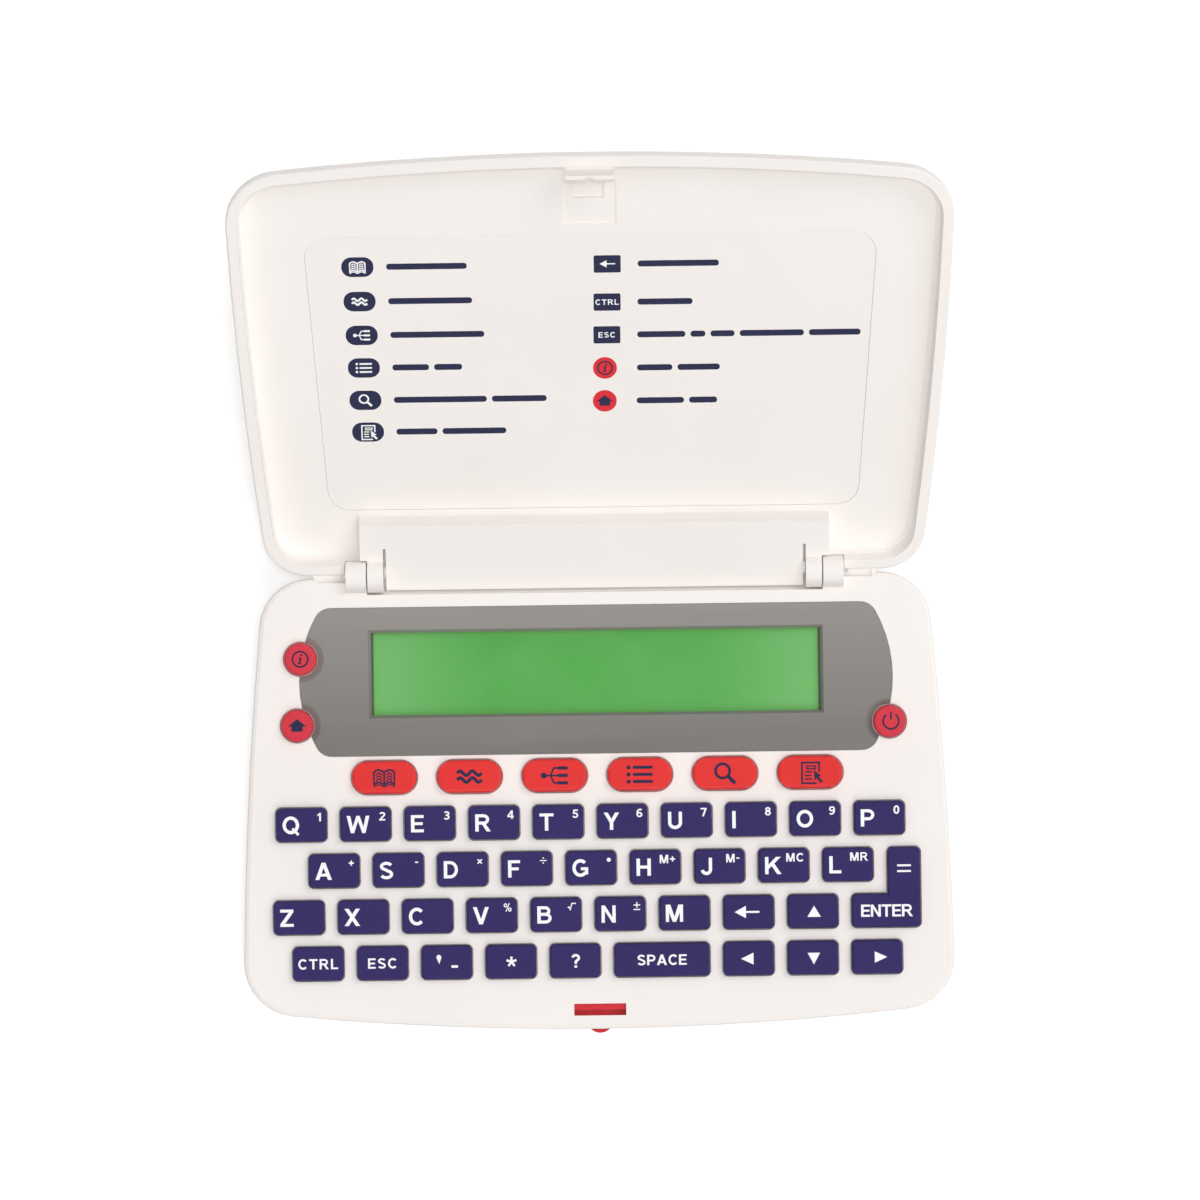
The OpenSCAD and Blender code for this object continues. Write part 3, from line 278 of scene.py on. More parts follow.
def make_window():
    """Clear acrylic: almost all of what is below shows through."""
    material, shader = new_material("window", 0.08, 0.2)
    shader.inputs["Base Color"].default_value = (0.9, 0.97, 0.9, 1)
    shader.inputs["Alpha"].default_value = 0.03
    return material


def make_display():
    """Blank liquid crystal: clouded green that turns yellower near its rim."""
    material, shader = new_material("display", 0.5, 0.1)
    tree = material.node_tree
    low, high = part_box("display_window")
    middle = (low + high) / 2
    half = (high - low) / 2
    clouds = ramp(tree, add_noise(tree, 34, 3, (1, 1.6, 1)), 0.35, 0.65, 0, 1)
    body = mix_colours(tree, clouds, srgb(56, 162, 48), srgb(78, 171, 70))
    ends = distance_from(tree, "X", middle.x)
    pale = ramp(tree, ends, half.x * 0.45, half.x, 0, 0.8)
    body = mix_colours(tree, pale, body, srgb(121, 192, 111))
    rim = ramp(tree, ends, half.x - 3.4 * MM, half.x - 1.6 * MM, 0, 0.75)
    body = mix_colours(tree, rim, body, srgb(98, 188, 62))
    edge = distance_from(tree, "Y", middle.y)
    rim = ramp(tree, edge, half.y - 2.6 * MM, half.y - 1.2 * MM, 0, 0.7)
    body = mix_colours(tree, rim, body, srgb(96, 184, 66))
    tree.links.new(body, shader.inputs["Base Color"])
    add_bump(tree, shader, add_noise(tree, 1800, 2), 0.05)
    return material


def distance_from(tree, axis, place):
    """How far the surface lies from a place along an axis."""
    offset = tree.nodes.new("ShaderNodeMath")
    offset.operation = "SUBTRACT"
    offset.inputs[1].default_value = place
    tree.links.new(along(tree, axis), offset.inputs[0])
    size = tree.nodes.new("ShaderNodeMath")
    size.operation = "ABSOLUTE"
    tree.links.new(offset.outputs[0], size.inputs[0])
    return size.outputs[0]


def make_metal(name, colour, roughness):
    material, shader = new_material(name, roughness)
    tree = material.node_tree
    shader.inputs["Metallic"].default_value = 1
    shader.inputs["Base Color"].default_value = colour
    gloss = ramp(tree, add_noise(tree, 900, 3), 0.3, 0.7, roughness - 0.05, roughness + 0.1)
    tree.links.new(gloss, shader.inputs["Roughness"])
    return material


def make_ink(name, colour, shade):
    """Printed ink: nearly even, with small pores."""
    material, shader = new_material(name, 0.55, 0.35)
    tree = material.node_tree
    pores = ramp(tree, add_noise(tree, 2600, 3), 0.35, 0.7, 0, 1)
    tree.links.new(mix_colours(tree, pores, colour, shade), shader.inputs["Base Color"])
    add_bump(tree, shader, add_noise(tree, 4200, 2), 0.15)
    return material


LATCH_STEP = 0.9 * MM
TAB_REACH = 2 * MM
TAB_EDGE = 0.2 * MM
LATCH_SOFT = 1.5 * MM


def make_latch():
    """Red plastic, with painted light that makes it paler down in its recess and painted shade that makes it a
    little darker on the push tab.
    """
    low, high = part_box("latch_button")
    # Painted light: below the step the same red part is made paler against the shade in its recess
    step = high.z - LATCH_STEP
    recess = (step, srgb(250, 56, 68))
    material = moulded(
        "latch", srgb(218, 38, 49), srgb(212, 34, 45), 0.36, 3600, 0.15, 0.4, recess
    )
    tree = material.node_tree
    colour = tree.nodes["Principled BSDF"].inputs["Base Color"]
    body = colour.links[0].from_socket
    # Painted shade: the push tab gets a darker red than the rest of the same piece
    tab_end = low.y + TAB_REACH
    tab = ramp(tree, along(tree, "Y"), tab_end, tab_end + TAB_EDGE, 0, 1)
    tree.links.new(mix_colours(tree, tab, srgb(204, 33, 44), body), colour)
    return material


FLANGE_T = 0.62 * MM


def soften(material, depth):
    """Lets a little light through a plastic, so its recess is not black."""
    shader = material.node_tree.nodes["Principled BSDF"]
    shader.inputs["Subsurface Weight"].default_value = 0.7
    shader.inputs["Subsurface Radius"].default_value = (1, 0.95, 0.9)
    shader.inputs["Subsurface Scale"].default_value = depth
    return material


def make_materials():
    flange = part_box("key_q")[0].z + FLANGE_T
    rubber = (flange, srgb(232, 226, 224))
    return {
        "shell": moulded("shell", srgb(247, 242, 238), srgb(245, 239, 235), 0.5, 4200, 0.25, 0.35),
        "card": moulded("card", srgb(245, 240, 236), srgb(243, 237, 233), 0.42, 2600, 0.12, 0.35),
        "key": moulded("key", srgb(54, 45, 100), srgb(50, 41, 93), 0.5, 5200, 0.3, 0.15, rubber),
        "oval_button": moulded(
            "oval_button", srgb(227, 45, 43), srgb(221, 41, 39), 0.38, 3600, 0.15, 0.4, rubber
        ),
        "round_button": moulded(
            "round_button", srgb(213, 57, 71), srgb(206, 51, 65), 0.6, 5200, 0.4, 0.35, rubber
        ),
        "latch": soften(make_latch(), LATCH_SOFT),
        "bezel": make_bezel(),
        "window": make_window(),
        "display": make_display(),
        "board": moulded("board", srgb(40, 108, 62), srgb(32, 92, 52), 0.35, 1800, 0.2),
        "key_sheet": moulded("key_sheet", srgb(188, 188, 192), srgb(180, 180, 186), 0.6, 3000, 0.3),
        "cell": make_metal("cell", srgb(206, 206, 208), 0.28),
        "screw": make_metal("screw", srgb(198, 198, 202), 0.22),
    }


SHARP_ANGLE = math.radians(32)


def dress_nodes(materials):
    """Gives every CAD node the finish of its slot, smooth across its shallow facets."""
    for row in frame["record"]["subparts"]:
        mesh = nodes[row["node"]].data
        mesh.materials.clear()
        mesh.materials.append(materials[row["material_slot"]])
        mesh.polygons.foreach_set("material_index", [0] * len(mesh.polygons))
        mesh.set_sharp_from_angle(angle=SHARP_ANGLE)


# Flat outlines, in millimetres on a key or on the card


def box(x0, y0, x1, y1):
    return [(x0, y0), (x1, y0), (x1, y1), (x0, y1)]


def flipped(points, width):
    """Mirror image of an outline in a glyph of that width."""
    return [(width - x, y) for x, y in reversed(points)]


def sweep(x, y, rx, ry, first, last, steps=16):
    """Points along an ellipse from one angle to another."""
    turn = math.radians(last - first) / steps
    start = math.radians(first)
    return [
        (x + rx * math.cos(start + turn * i), y + ry * math.sin(start + turn * i))
        for i in range(steps + 1)
    ]


def disc(x, y, radius, steps=24):
    return sweep(x, y, radius, radius, 0, 360, steps)[:-1]


def pill(x, y, width, height, radius):
    """Rectangle with round corners about a centre."""
    dx = width / 2 - radius
    dy = height / 2 - radius
    points = []
    for turn, (sx, sy) in enumerate([(1, 1), (-1, 1), (-1, -1), (1, -1)]):
        points += sweep(x + sx * dx, y + sy * dy, radius, radius, 90 * turn, 90 * turn + 90, 6)
    return points


def stroke(points, thick, closed=False):
    """Outlines of the pieces of a stroke along a path, mitred at its corners."""
    path = [Vector(p) for p in points]
    if closed:
        path = path[:-1]
    count = len(path)
    sides = []
    for i, here in enumerate(path):
        before = here - path[i - 1] if i or closed else path[1] - here
        after = path[(i + 1) % count] - here if i < count - 1 or closed else before
        first = Vector((-before.y, before.x)).normalized()
        second = Vector((-after.y, after.x)).normalized()
        mitre = (first + second).normalized()
        reach = mitre * (thick / 2 / max(mitre.dot(first), 0.5))
        sides.append((here + reach, here - reach))
    spans = range(count if closed else count - 1)
    pieces = []
    for i in spans:
        (a, b), (c, d) = sides[i], sides[(i + 1) % count]
        pieces.append([tuple(b), tuple(d), tuple(c), tuple(a)])
    return pieces


def placed(outlines, x, y, scale=1):
    return [[(x + px * scale, y + py * scale) for px, py in points] for points in outlines]


# Plain bold capitals, digits and signs: width and outlines, in heights of a capital

STEM = 0.2
ARM = 0.17
BOWL = 0.175
ROUND = 0.19
LETTER_GAP = 0.2


def bowl(x, y, rx, ry, left=0.1):
    """Bowl of a letter: out from its stem, round and back."""
    return stroke([(left, y + ry)] + sweep(x, y, rx, ry, 90, -90) + [(left, y - ry)], BOWL)


def ring(x, y, rx, ry, thick, steps=28):
    return stroke(sweep(x, y, rx, ry, 0, 360, steps), thick, closed=True)


def asterisk():
    """Five arms from a middle."""
    middle = (0.4, 0.5)
    arms = []
    for angle in range(90, 450, 72):
        tip = sweep(*middle, 0.4, 0.4, angle, angle, 1)[0]
        arms += stroke([tip, middle], 0.17)
    return arms


def back_arrow():
    return [[(-2.48, 0.05), (-0.49, -1.05), (-0.49, 1.15)], box(-0.6, -0.12, 1.9, 0.22)]


def make_glyphs():
    stem = box(0, 0, STEM, 1)
    foot = 1 - ARM
    glyphs = {
        " ": (0.3, []),
        "I": (STEM, [stem]),
        "L": (0.7, [stem, box(0, 0, 0.7, ARM)]),
        "T": (0.82, [box(0, foot, 0.82, 1), box(0.31, 0, 0.51, 1)]),
        "E": (0.74, [stem, box(0, 0, 0.74, ARM), box(0, foot, 0.74, 1), box(0, 0.42, 0.68, 0.585)]),
        "F": (0.7, [stem, box(0, foot, 0.7, 1), box(0, 0.42, 0.62, 0.585)]),
        "H": (0.83, [stem, box(0.63, 0, 0.83, 1), box(0, 0.42, 0.83, 0.595)]),
        "D": (0.82, [stem] + bowl(0.36, 0.5, 0.372, 0.4125)),
        "P": (0.79, [stem] + bowl(0.44, 0.68, 0.26, 0.2325)),
        "B": (0.83, [stem] + bowl(0.46, 0.7225, 0.21, 0.19) + bowl(0.48, 0.31, 0.26, 0.2225)),
        "O": (0.97, ring(0.485, 0.5, 0.385, 0.42, ROUND)),
        "C": (0.86, stroke(sweep(0.47, 0.5, 0.37, 0.42, 42, 318, 24), ROUND)),
        "U": (
            0.82,
            stroke([(0.1, 1)] + sweep(0.41, 0.37, 0.31, 0.28, 180, 360) + [(0.72, 1)], ROUND),
        ),
        "J": (0.66, stroke([(0.56, 1)] + sweep(0.325, 0.32, 0.235, 0.23, 0, -172), ROUND)),
        "0": (0.62, ring(0.31, 0.5, 0.22, 0.42, 0.18)),
        "8": (0.62, ring(0.31, 0.735, 0.19, 0.175, ARM) + ring(0.31, 0.295, 0.22, 0.21, ARM)),
        "+": (0.62, [box(0, 0.42, 0.62, 0.58), box(0.23, 0.19, 0.39, 0.81)]),
        "-": (0.36, [box(0, 0.42, 0.36, 0.58)]),
        "•": (0.5, [disc(0.25, 0.5, 0.24)]),
        "×": (
            0.62,
            stroke([(0.06, 0.25), (0.56, 0.75)], 0.15) + stroke([(0.06, 0.75), (0.56, 0.25)], 0.15),
        ),
        "÷": (0.8, [box(0, 0.45, 0.8, 0.56), disc(0.4, 0.8, 0.085), disc(0.4, 0.21, 0.085)]),
        "√": (
            0.95,
            stroke([(0, 0.36), (0.13, 0.48), (0.29, 0.14), (0.47, 0.88), (0.95, 0.88)], 0.13),
        ),
        "±": (
            0.78,
            [box(0, 0, 0.78, 0.13), box(0, 0.53, 0.78, 0.66), box(0.325, 0.27, 0.455, 0.95)],
        ),
        "*": (0.8, asterisk()),
    }
    bar = [(0, 0), (0.225, 0), (0.59, 1), (0.37, 1)]
    glyphs["A"] = (0.96, [bar, flipped(bar, 0.96), box(0.25, 0.2, 0.71, 0.36)])
    bar = [(0.355, 0), (0.565, 0), (0.22, 1), (0, 1)]
    glyphs["V"] = (0.92, [bar, flipped(bar, 0.92)])
    outer = [(0.235, 0), (0.425, 0), (0.21, 1), (0, 1)]
    inner = [(0.235, 0), (0.425, 0), (0.755, 1), (0.565, 1)]
    glyphs["W"] = (1.32, [outer, inner, flipped(outer, 1.32), flipped(inner, 1.32)])
    bar = [(0, 0), (0.245, 0), (0.9, 1), (0.655, 1)]
    glyphs["X"] = (0.9, [bar, flipped(bar, 0.9)])
    arm = [(0.35, 0.42), (0.35, 0.38), (0.55, 0.38), (0.55, 0.46), (0.235, 1), (0, 1)]
    glyphs["Y"] = (0.9, [arm, flipped(arm, 0.9), box(0.35, 0, 0.55, 0.45)])
    bar = [(0, 0.15), (0.25, 0.15), (0.77, 0.85), (0.52, 0.85)]
    glyphs["Z"] = (0.78, [bar, box(0, 0, 0.78, ARM), box(0, foot, 0.76, 1)])
    arm = [(0.19, 0.28), (0.92, 1), (0.64, 1), (0.19, 0.54)]
    leg = [(0.7, 0), (0.95, 0), (0.48, 0.7), (0.33, 0.56)]
    glyphs["K"] = (0.94, [stem, arm, leg])
    bar = [(0.405, 0), (0.595, 0), (0.27, 1), (0, 1)]
    glyphs["M"] = (1, [box(0, 0, 0.185, 1), box(0.815, 0, 1, 1), bar, flipped(bar, 1)])
    bar = [(0.62, 0), (0.82, 0), (0.2, 1), (0, 1)]
    glyphs["N"] = (0.82, [box(0, 0, 0.19, 1), box(0.63, 0, 0.82, 1), bar])
    tail = [(0.87, -0.12), (0.98, -0.01), (0.64, 0.36), (0.52, 0.27)]
    glyphs["Q"] = (0.97, glyphs["O"][1] + [tail])
    leg = [(0.66, 0), (0.9, 0), (0.56, 0.5), (0.34, 0.5)]
    glyphs["R"] = (0.9, [stem, leg] + bowl(0.48, 0.7, 0.24, 0.2125))
    spur = [box(0.735, 0.13, 0.92, 0.54), box(0.5, 0.375, 0.92, 0.54)]
    glyphs["G"] = (0.92, stroke(sweep(0.47, 0.5, 0.37, 0.42, 45, 322, 24), ROUND) + spur)
    spine = sweep(0.4, 0.735, 0.285, 0.1825, 22, 255) + sweep(0.4, 0.28, 0.3, 0.1975, 75, -158)
    glyphs["S"] = (0.8, stroke(spine, BOWL))
    flag = [(0, 0.62), (0.3, 0.78), (0.39, 1), (0.24, 1), (0.2, 0.9), (0, 0.79)]
    glyphs["1"] = (0.4, [box(0.2, 0, 0.39, 1), flag])
    glyphs["2"] = (0.64, stroke(sweep(0.32, 0.72, 0.225, 0.195, 165, -30) + [(0.1, 0.12)], 0.18))
    glyphs["2"][1].append(box(0, 0, 0.64, ARM))
    upper = stroke(sweep(0.3, 0.735, 0.215, 0.18, 150, -85), ARM)
    lower = stroke(sweep(0.3, 0.295, 0.235, 0.21, 85, -155), ARM)
    glyphs["3"] = (0.62, upper + lower + [box(0.2, 0.455, 0.36, 0.61)])
    slope = [(0, 0.25), (0.14, 0.25), (0.16, 0.33), (0.5, 0.85), (0.4, 1), (0, 0.38)]
    glyphs["4"] = (0.68, [slope, box(0, 0.2, 0.68, 0.365), box(0.39, 0, 0.57, 1)])
    side = [(0.07, 0.48), (0.235, 0.5), (0.29, 1), (0.13, 1)]
    hook = stroke(sweep(0.31, 0.33, 0.235, 0.24, 118, -158), ARM)
    glyphs["5"] = (0.62, [side, box(0.13, foot, 0.6, 1)] + hook)
    back = stroke(sweep(0.39, 0.5, 0.29, 0.415, 55, 180) + [(0.1, 0.35)], ARM)
    glyphs["6"] = (0.63, ring(0.325, 0.31, 0.22, 0.225, ARM) + back)
    glyphs["9"] = (0.63, [[(0.63 - x, 1 - y) for x, y in p] for p in glyphs["6"][1]])
    slope = [(0.15, 0), (0.34, 0), (0.63, 0.86), (0.44, 0.86)]
    glyphs["7"] = (0.63, [slope, box(0, foot, 0.63, 1)])
    rings = ring(0.22, 0.75, 0.15, 0.18, 0.12) + ring(0.73, 0.25, 0.15, 0.18, 0.12)
    glyphs["%"] = (0.95, rings + stroke([(0.27, 0), (0.68, 1)], 0.11))
    hook = stroke(sweep(0.33, 0.73, 0.23, 0.19, 172, -50) + [(0.33, 0.44), (0.33, 0.28)], 0.18)
    glyphs["?"] = (0.66, hook + [box(0.235, 0, 0.425, 0.18)])
    return glyphs


GLYPHS = make_glyphs()


def word(text, x, y, cap, anchor="centre", gap=LETTER_GAP):
    """Outlines of a word whose capitals are cap high, about y and from, to or about x."""
    width = sum(GLYPHS[c][0] for c in text) + gap * (len(text) - 1)
    shares = {"left": 0, "centre": 0.5, "right": 1}
    start = x - width * cap * shares[anchor]
    outlines = []
    for letter in text:
        advance, pieces = GLYPHS[letter]
        outlines += placed(pieces, start, y - cap / 2, cap)
        start += (advance + gap) * cap
    return outlines


# Pictograms, in millimetres about their middle


def book():
    """Open book with lines on both pages."""
    def page(y, x_out, x_in):
        rise = [0, 0.3, 0.42, 0.38, 0.2, 0]
        step = (x_out - x_in) / (len(rise) - 1)
        return [(x_out - step * i, y + rise[i]) for i in range(len(rise))]

    left = page(0.95, -1.8, 0) + page(-1.25, -1.8, 0)[::-1]
    outlines = stroke(left + [left[0]], 0.34, closed=True)
    for y in (0.42, -0.12, -0.66):
        outlines += stroke(page(y, -1.4, -0.35), 0.25)
    cover = page(-1.66, -1.8, 0)
    outlines += stroke(cover, 0.22)
    return outlines + [flipped(points, 0) for points in outlines]


def similar():
    """Two waves: words that mean the same."""
    outlines = []
    for y in (0.5, -0.5):
        wave = [(x / 10, y + 0.33 * math.sin(math.pi * x / 9)) for x in range(-18, 19)]
        outlines += stroke(wave, 0.48)
    return outlines


def branches():
    """One root with three forms."""
    outlines = [disc(-1.6, 0, 0.45)]
    for y in (1.1, 0, -1.1):
        outlines += stroke([(-1.5, 0), (-0.6, 0), (-0.1, y), (0.5, y)], 0.26)
        outlines.append(box(0.5, y - 0.24, 1.95, y + 0.24))
    return outlines


def list_rows():
    outlines = []
    for y in (1.05, 0, -1.05):
        outlines.append(disc(-1.65, y, 0.3))
        outlines.append(box(-1, y - 0.22, 1.9, y + 0.22))
    return outlines


def magnifier():
    return ring(-0.35, 0.35, 1.05, 1.05, 0.4) + stroke([(0.38, -0.38), (1.5, -1.5)], 0.55)


def page_and_pointer():
    """Written page with a pointer on its corner."""
    edge = [(1.1, -1.95), (-1.45, -1.95), (-1.45, 1.7), (1.6, 1.7), (1.6, 0)]
    outlines = stroke(edge, 0.32)
    outlines += stroke(box(-0.6, 0.6, 0.95, 1.08) + [(-0.6, 0.6)], 0.24, closed=True)
    for y, right in ((0.05, 0.3), (-0.58, 0.2), (-1.2, 0.3)):
        outlines.append(box(-0.95, y - 0.14, right, y + 0.14))
    head = [(0.6, 0.4), (2, -0.7), (1.5, -0.82)]
    pointer = head + [(2.3, -1.7), (1.82, -1.95), (1.14, -1.1), (0.8, -1.45)]
    return outlines + [pointer]


def info():
    """Letter i in a circle."""
    dot = disc(0.2, 0.72, 0.21, 12)
    stem = stroke([(0.12, 0.28), (-0.14, -0.72)], 0.34)
    serifs = [box(-0.28, 0.14, 0.2, 0.34), box(-0.42, -0.84, 0.14, -0.66)]
    return ring(0, 0, 1.36, 1.36, 0.3, 36) + stem + [dot] + serifs


def shift():
    """Arrow up."""
    return [[(-1.62, -0.1), (1.62, -0.1), (0, 1.2)], box(-1, -1, 1, 0)]


def power():
    """Broken circle with a stroke in its gap."""
    return stroke(sweep(0.2, 0, 1.38, 1.38, 125, 415, 30), 0.31) + [box(0.04, 0.3, 0.36, 1.6)]


# Film of ink on a face

INK_BELOW = 0.01
INK_ABOVE = 0.02


def anticlockwise(outline):
    turns = zip(outline, outline[1:] + outline[:1])
    area = sum(x0 * y1 - x1 * y0 for (x0, y0), (x1, y1) in turns)
    return outline if area > 0 else outline[::-1]


def print_on(name, body, place, outlines, ink, above=INK_ABOVE):
    """Joins outlines into one thin film of ink that lies on a face and rides on a body."""
    outlines = [anticlockwise(outline) for outline in outlines]
    points = [Vector(p) for outline in outlines for p in outline]
    faces = []
    first = 0
    for outline in outlines:
        faces.append(list(range(first, first + len(outline))))
        first += len(outline)
    joined = delaunay_2d_cdt(points, [], faces, 1, 1e-4, True)
    film = bmesh.new()
    corners = [film.verts.new((v.x, v.y, -INK_BELOW)) for v in joined[0]]
    for face, sources in zip(joined[2], joined[5]):
        if sources:
            film.faces.new([corners[i] for i in face])
    bmesh.ops.delete(film, geom=[v for v in film.verts if not v.link_faces], context="VERTS")
    raised = bmesh.ops.extrude_face_region(film, geom=film.faces[:], use_keep_orig=True)
    upper = [e for e in raised["geom"] if isinstance(e, bmesh.types.BMVert)]
    bmesh.ops.translate(film, verts=upper, vec=(0, 0, INK_BELOW + above))
    bmesh.ops.recalc_face_normals(film, faces=film.faces)
    mesh = bpy.data.meshes.new(name)
    film.to_mesh(mesh)
    film.free()
    mesh.transform(place @ Matrix.Diagonal((MM, MM, MM, 1)))
    mesh.materials.append(ink)
    piece = bpy.data.objects.new(name, mesh)
    bpy.context.scene.collection.objects.link(piece)
    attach(piece, body)


def top_of(node):
    """Middle of a key's flat top."""
    low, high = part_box(node)
    return Matrix.Translation(((low.x + high.x) / 2, (low.y + high.y) / 2, high.z))


# Printing on the keys: a letter at the left and a small mark at the top right

LETTER_LEFT = -3.3
LETTER_CAP = 3.05
MARK_RIGHT = 3.55
MARK_Y = 1.4
MARK_CAP = 1.5
DIGIT_WIDE = 1.13
MARKS = {
    "q": "1", "w": "2", "e": "3", "r": "4", "t": "5",
    "y": "6", "u": "7", "i": "8", "o": "9", "p": "0",
    "a": "+", "s": "-", "d": "×", "f": "÷", "g": "•",
    "h": "M+", "j": "M-", "k": "MC", "l": "MR",
    "z": "", "x": "", "c": "", "v": "%", "b": "√", "n": "±", "m": "",
}


def print_keys(ink):
    for letter, mark in MARKS.items():
        outlines = word(letter.upper(), LETTER_LEFT, 0, LETTER_CAP, "left")
        if mark:
            small = word(mark, 0, 0, MARK_CAP, "right")
            if mark.isdigit():
                small = [[(x * DIGIT_WIDE, y) for x, y in points] for points in small]
            outlines += placed(small, MARK_RIGHT, MARK_Y)
        print_key("key_" + letter, outlines, ink)
    quote = sweep(-1.37, 0.95, 0.43, 0.43, -20, 200) + [(-1.3, -0.25)]
    signs = {
        "key_ctrl": word("CTRL", 0, 0, 1.82),
        "key_esc": word("ESC", 0, 0, 1.82),
        "key_hyphen": [quote, box(0.84, -0.93, 1.99, -0.49)],
        "key_star": word("*", 0.1, 0, 2.3),
        "key_question": word("?", 0.1, 0, 2.4),
        "key_space": word("SPACE", 0, 0, 1.86, gap=0.14),
        "key_backspace": back_arrow(),
        "key_up": [[(-1, -0.97), (1.4, -0.97), (0.2, 1.02)]],
        "key_left": [[(-1.37, 0), (0.84, -1.05), (0.84, 1.05)]],
        "key_down": [[(-0.95, 0.9), (0.15, -1.15), (1.26, 0.9)]],
        "key_right": [[(-0.44, -1), (1.77, 0), (-0.44, 1)]],
    }
    for node, outlines in signs.items():
        print_key(node, outlines, ink)
    print_enter(ink)


def print_key(node, outlines, ink):
    print_on("print_" + node, node, top_of(node), outlines, ink)


FLANGE = 0.6
STEM_MIDDLE = 5.75 / 2
EQUALS_DOWN = 3.72
EQUALS_HALF = (1.22, 0.17)
EQUALS_APART = 0.51


def print_enter(ink):
    """The word on the foot of the enter key and two bars on its stem."""
    low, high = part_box("key_enter")
    foot = top_of("key_enter")
    foot.translation.y = top_of("key_up").translation.y
    stem_x = (high.x - foot.translation.x) / MM - FLANGE - STEM_MIDDLE
    bars_y = (high.y - foot.translation.y) / MM - FLANGE - EQUALS_DOWN
    outlines = word("ENTER", 0.1, 0, 2.15, gap=0.06)
    half_x, half_y = EQUALS_HALF
    for y in (bars_y - EQUALS_APART, bars_y + EQUALS_APART):
        outlines.append(box(stem_x - half_x, y - half_y, stem_x + half_x, y + half_y))
    print_on("print_key_enter", "key_enter", foot, outlines, ink)


WORD_ICON = 1.2
OVALS = {
    "button_dictionary": (book, 1),
    "button_synonyms": (similar, WORD_ICON),
    "button_conjugation": (branches, WORD_ICON),
    "button_list": (list_rows, WORD_ICON),
    "button_index": (magnifier, WORD_ICON),
    "button_notes": (page_and_pointer, 1),
}
ROUNDS = {"button_info": info, "button_shift": shift, "button_power": power}


def print_buttons(ink):
    for node, (draw, scale) in OVALS.items():
        outlines = placed(draw(), 0, 0, scale)
        print_on("print_" + node, node, top_of(node), outlines, ink)
    for node, draw in ROUNDS.items():
        print_on("print_" + node, node, top_of(node), draw(), ink)


# Printing on the card: X to the right and Y away from the hinge axis

CARD_LINES = [
    (-40.5, 58.5, "oval", book, [14]),
    (-40.3, 51.9, "oval", similar, [14.6]),
    (-40.1, 45.4, "oval", branches, [16.4]),
    (-39.9, 39.1, "oval", list_rows, [6.4, 4.9]),
    (-39.8, 32.8, "oval", magnifier, [16.3, 9.6]),
    (-39.5, 26.6, "oval", page_and_pointer, [7.2, 11.2]),
    (2.9, 58.5, "key", None, [14.1]),
    (2.8, 51.2, "key", None, [9.6]),
    (2.7, 44.9, "key", None, [8.4, 2.6, 4.2, 11.2, 9]),
    (2.3, 38.5, "round", info, [6.2, 7.4]),
    (2.2, 32.1, "round", shift, [8.3, 4.9]),
]
TEXT_LEFT = {"oval": 5, "key": 5.3, "round": 5.6}
TEXT_HEIGHT = 1.15
TEXT_GAP = 0.9
TEXT_ROUND = 0.45
OVAL_BADGE = (5.6, 3.75, 1.75)
KEY_BADGE = (4.7, 3.3, 0.3)
ROUND_BADGE = 2.1
BADGE_ICON = 0.74
ROUND_ICON = 0.92
BADGE_CAP = 1.05
LOWER_INK = 0.01
UPPER_INK = 0.025


def card_place():
    """Frame on the card's printed face, with its origin on the hinge axis."""
    hinge = next(j for j in frame["joints"] if j["name"] == "lid_hinge")
    axis = Vector(hinge["pos_m"])
    turn = Matrix.Rotation(-math.radians(hinge["range_deg"][1]), 4, "X")
    up = turn @ Vector((0, -1, 0))
    normal = turn @ Vector((0, 0, -1))
    corners = [Vector(v.co) for v in nodes["legend_card"].data.vertices]
    level = max((c - axis).dot(normal) for c in corners)
    place = Matrix((Vector((1, 0, 0)), up, normal)).transposed().to_4x4()
    place.translation = axis + normal * level
    return place


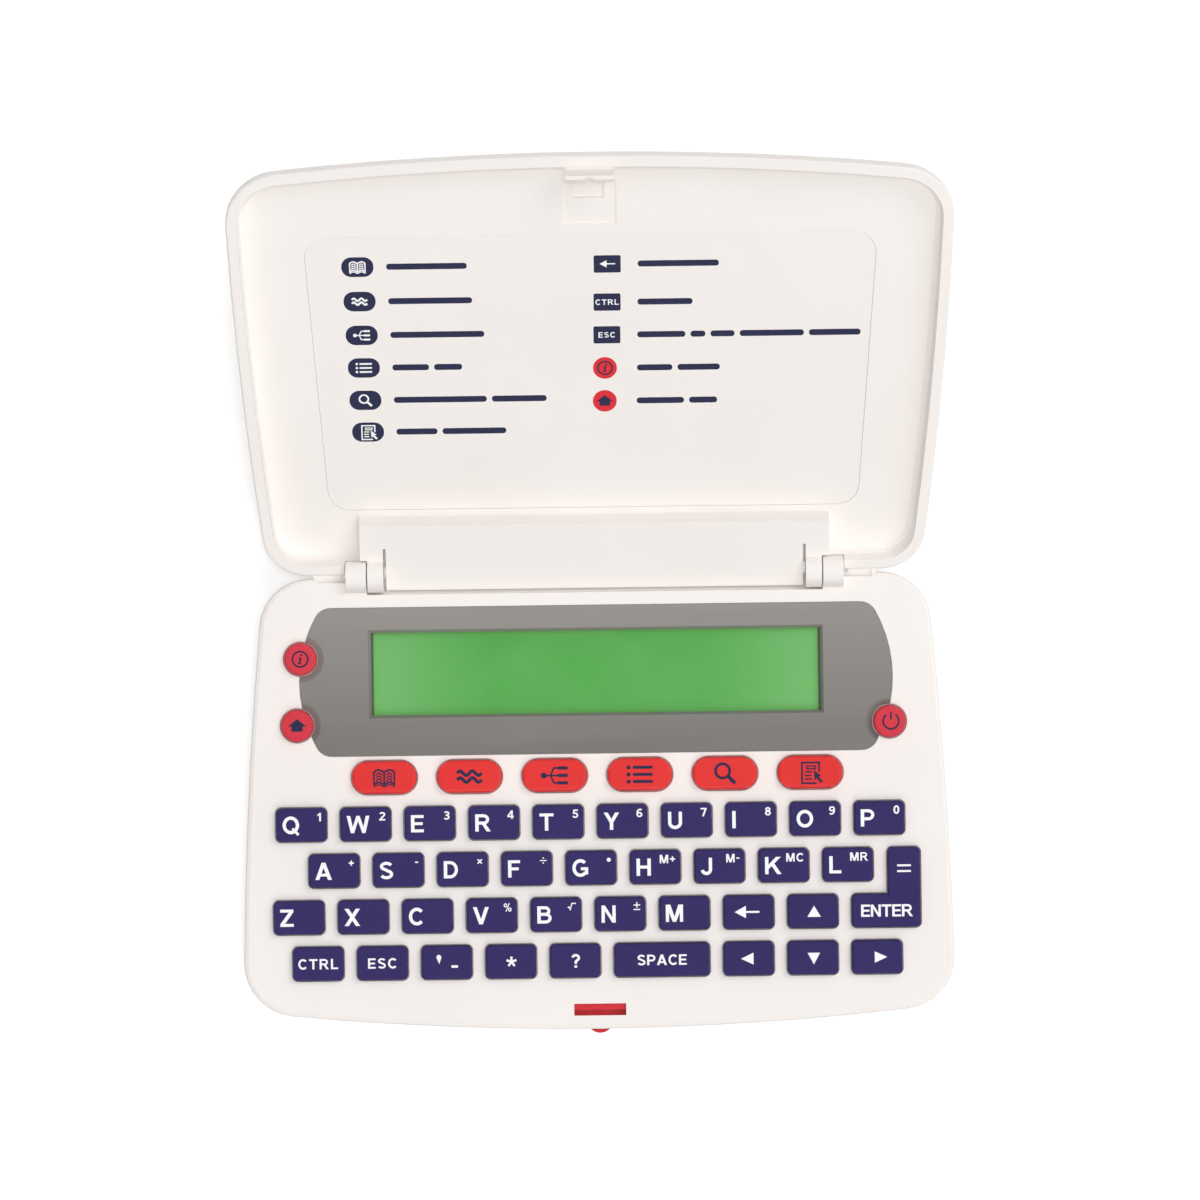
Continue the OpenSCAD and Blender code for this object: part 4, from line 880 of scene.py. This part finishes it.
def print_card(navy, red, white):
    place = card_place()
    navy_shapes = []
    red_shapes = []
    white_shapes = []
    on_red = []
    for x, y, kind, draw, words in CARD_LINES:
        if kind == "oval":
            navy_shapes.append(pill(x, y, *OVAL_BADGE))
            white_shapes += placed(draw(), x, y, BADGE_ICON)
        elif kind == "key":
            navy_shapes.append(pill(x, y, *KEY_BADGE))
        else:
            red_shapes.append(disc(x, y, ROUND_BADGE, 36))
            on_red += placed(draw(), x, y, ROUND_ICON)
        left = x + TEXT_LEFT[kind]
        for width in words:
            radius = TEXT_HEIGHT * TEXT_ROUND
            navy_shapes.append(pill(left + width / 2, y, width, TEXT_HEIGHT, radius))
            left += width + TEXT_GAP
    white_shapes += placed(back_arrow(), 3.1, 58.5, 0.62)
    white_shapes += word("CTRL", 2.8, 51.2, BADGE_CAP)
    white_shapes += word("ESC", 2.7, 44.9, BADGE_CAP)
    print_on("card_navy_print", "lid", place, navy_shapes, navy, LOWER_INK)
    print_on("card_red_print", "lid", place, red_shapes, red, LOWER_INK)
    print_on("card_white_print", "lid", place, white_shapes, white, UPPER_INK)
    print_on("card_icon_print", "lid", place, on_red, navy, UPPER_INK)


# Dark frame round the liquid crystal, under the window: partly the display's dark border, partly painted shade
# from the bezel's step

BORDER_SHADE_IN = (39.4, 7.35)
BORDER_SHADE_OUT = (41, 8.6)
BORDER_SHADE_ABOVE = 0.03


def add_dark_border_and_shade(ink):
    # Partly painted shade: a dark band where the bezel's step shades the panel's rim, over its real dark border
    panel_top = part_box("lcd_panel")[1].z
    window_low, window_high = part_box("display_window")
    middle = (window_low + window_high) / 2
    place = Matrix.Translation((middle.x, middle.y, panel_top))
    inner = box(-BORDER_SHADE_IN[0], -BORDER_SHADE_IN[1], BORDER_SHADE_IN[0], BORDER_SHADE_IN[1])
    outer = box(-BORDER_SHADE_OUT[0], -BORDER_SHADE_OUT[1], BORDER_SHADE_OUT[0], BORDER_SHADE_OUT[1])
    outlines = []
    for i in range(4):
        j = (i + 1) % 4
        outlines.append([outer[i], outer[j], inner[j], inner[i]])
    print_on("display_border_and_shade", "base", place, outlines, ink, BORDER_SHADE_ABOVE)


add_camera()
add_world()
add_floor()
for lamp in LAMPS:
    add_softbox(*lamp)
dress_nodes(make_materials())
white_ink = make_ink("white_ink", srgb(252, 252, 253), srgb(246, 246, 249))
navy_ink = make_ink("navy_ink", srgb(12, 17, 54), srgb(20, 24, 64))
red_ink = make_ink("red_ink", srgb(222, 38, 48), srgb(216, 42, 52))
print_keys(white_ink)
print_buttons(navy_ink)
print_card(navy_ink, red_ink, white_ink)
add_dark_border_and_shade(make_ink("dark_border_and_shade", srgb(52, 70, 52), srgb(66, 84, 64)))
bpy.context.scene.view_settings.view_transform = "Standard"
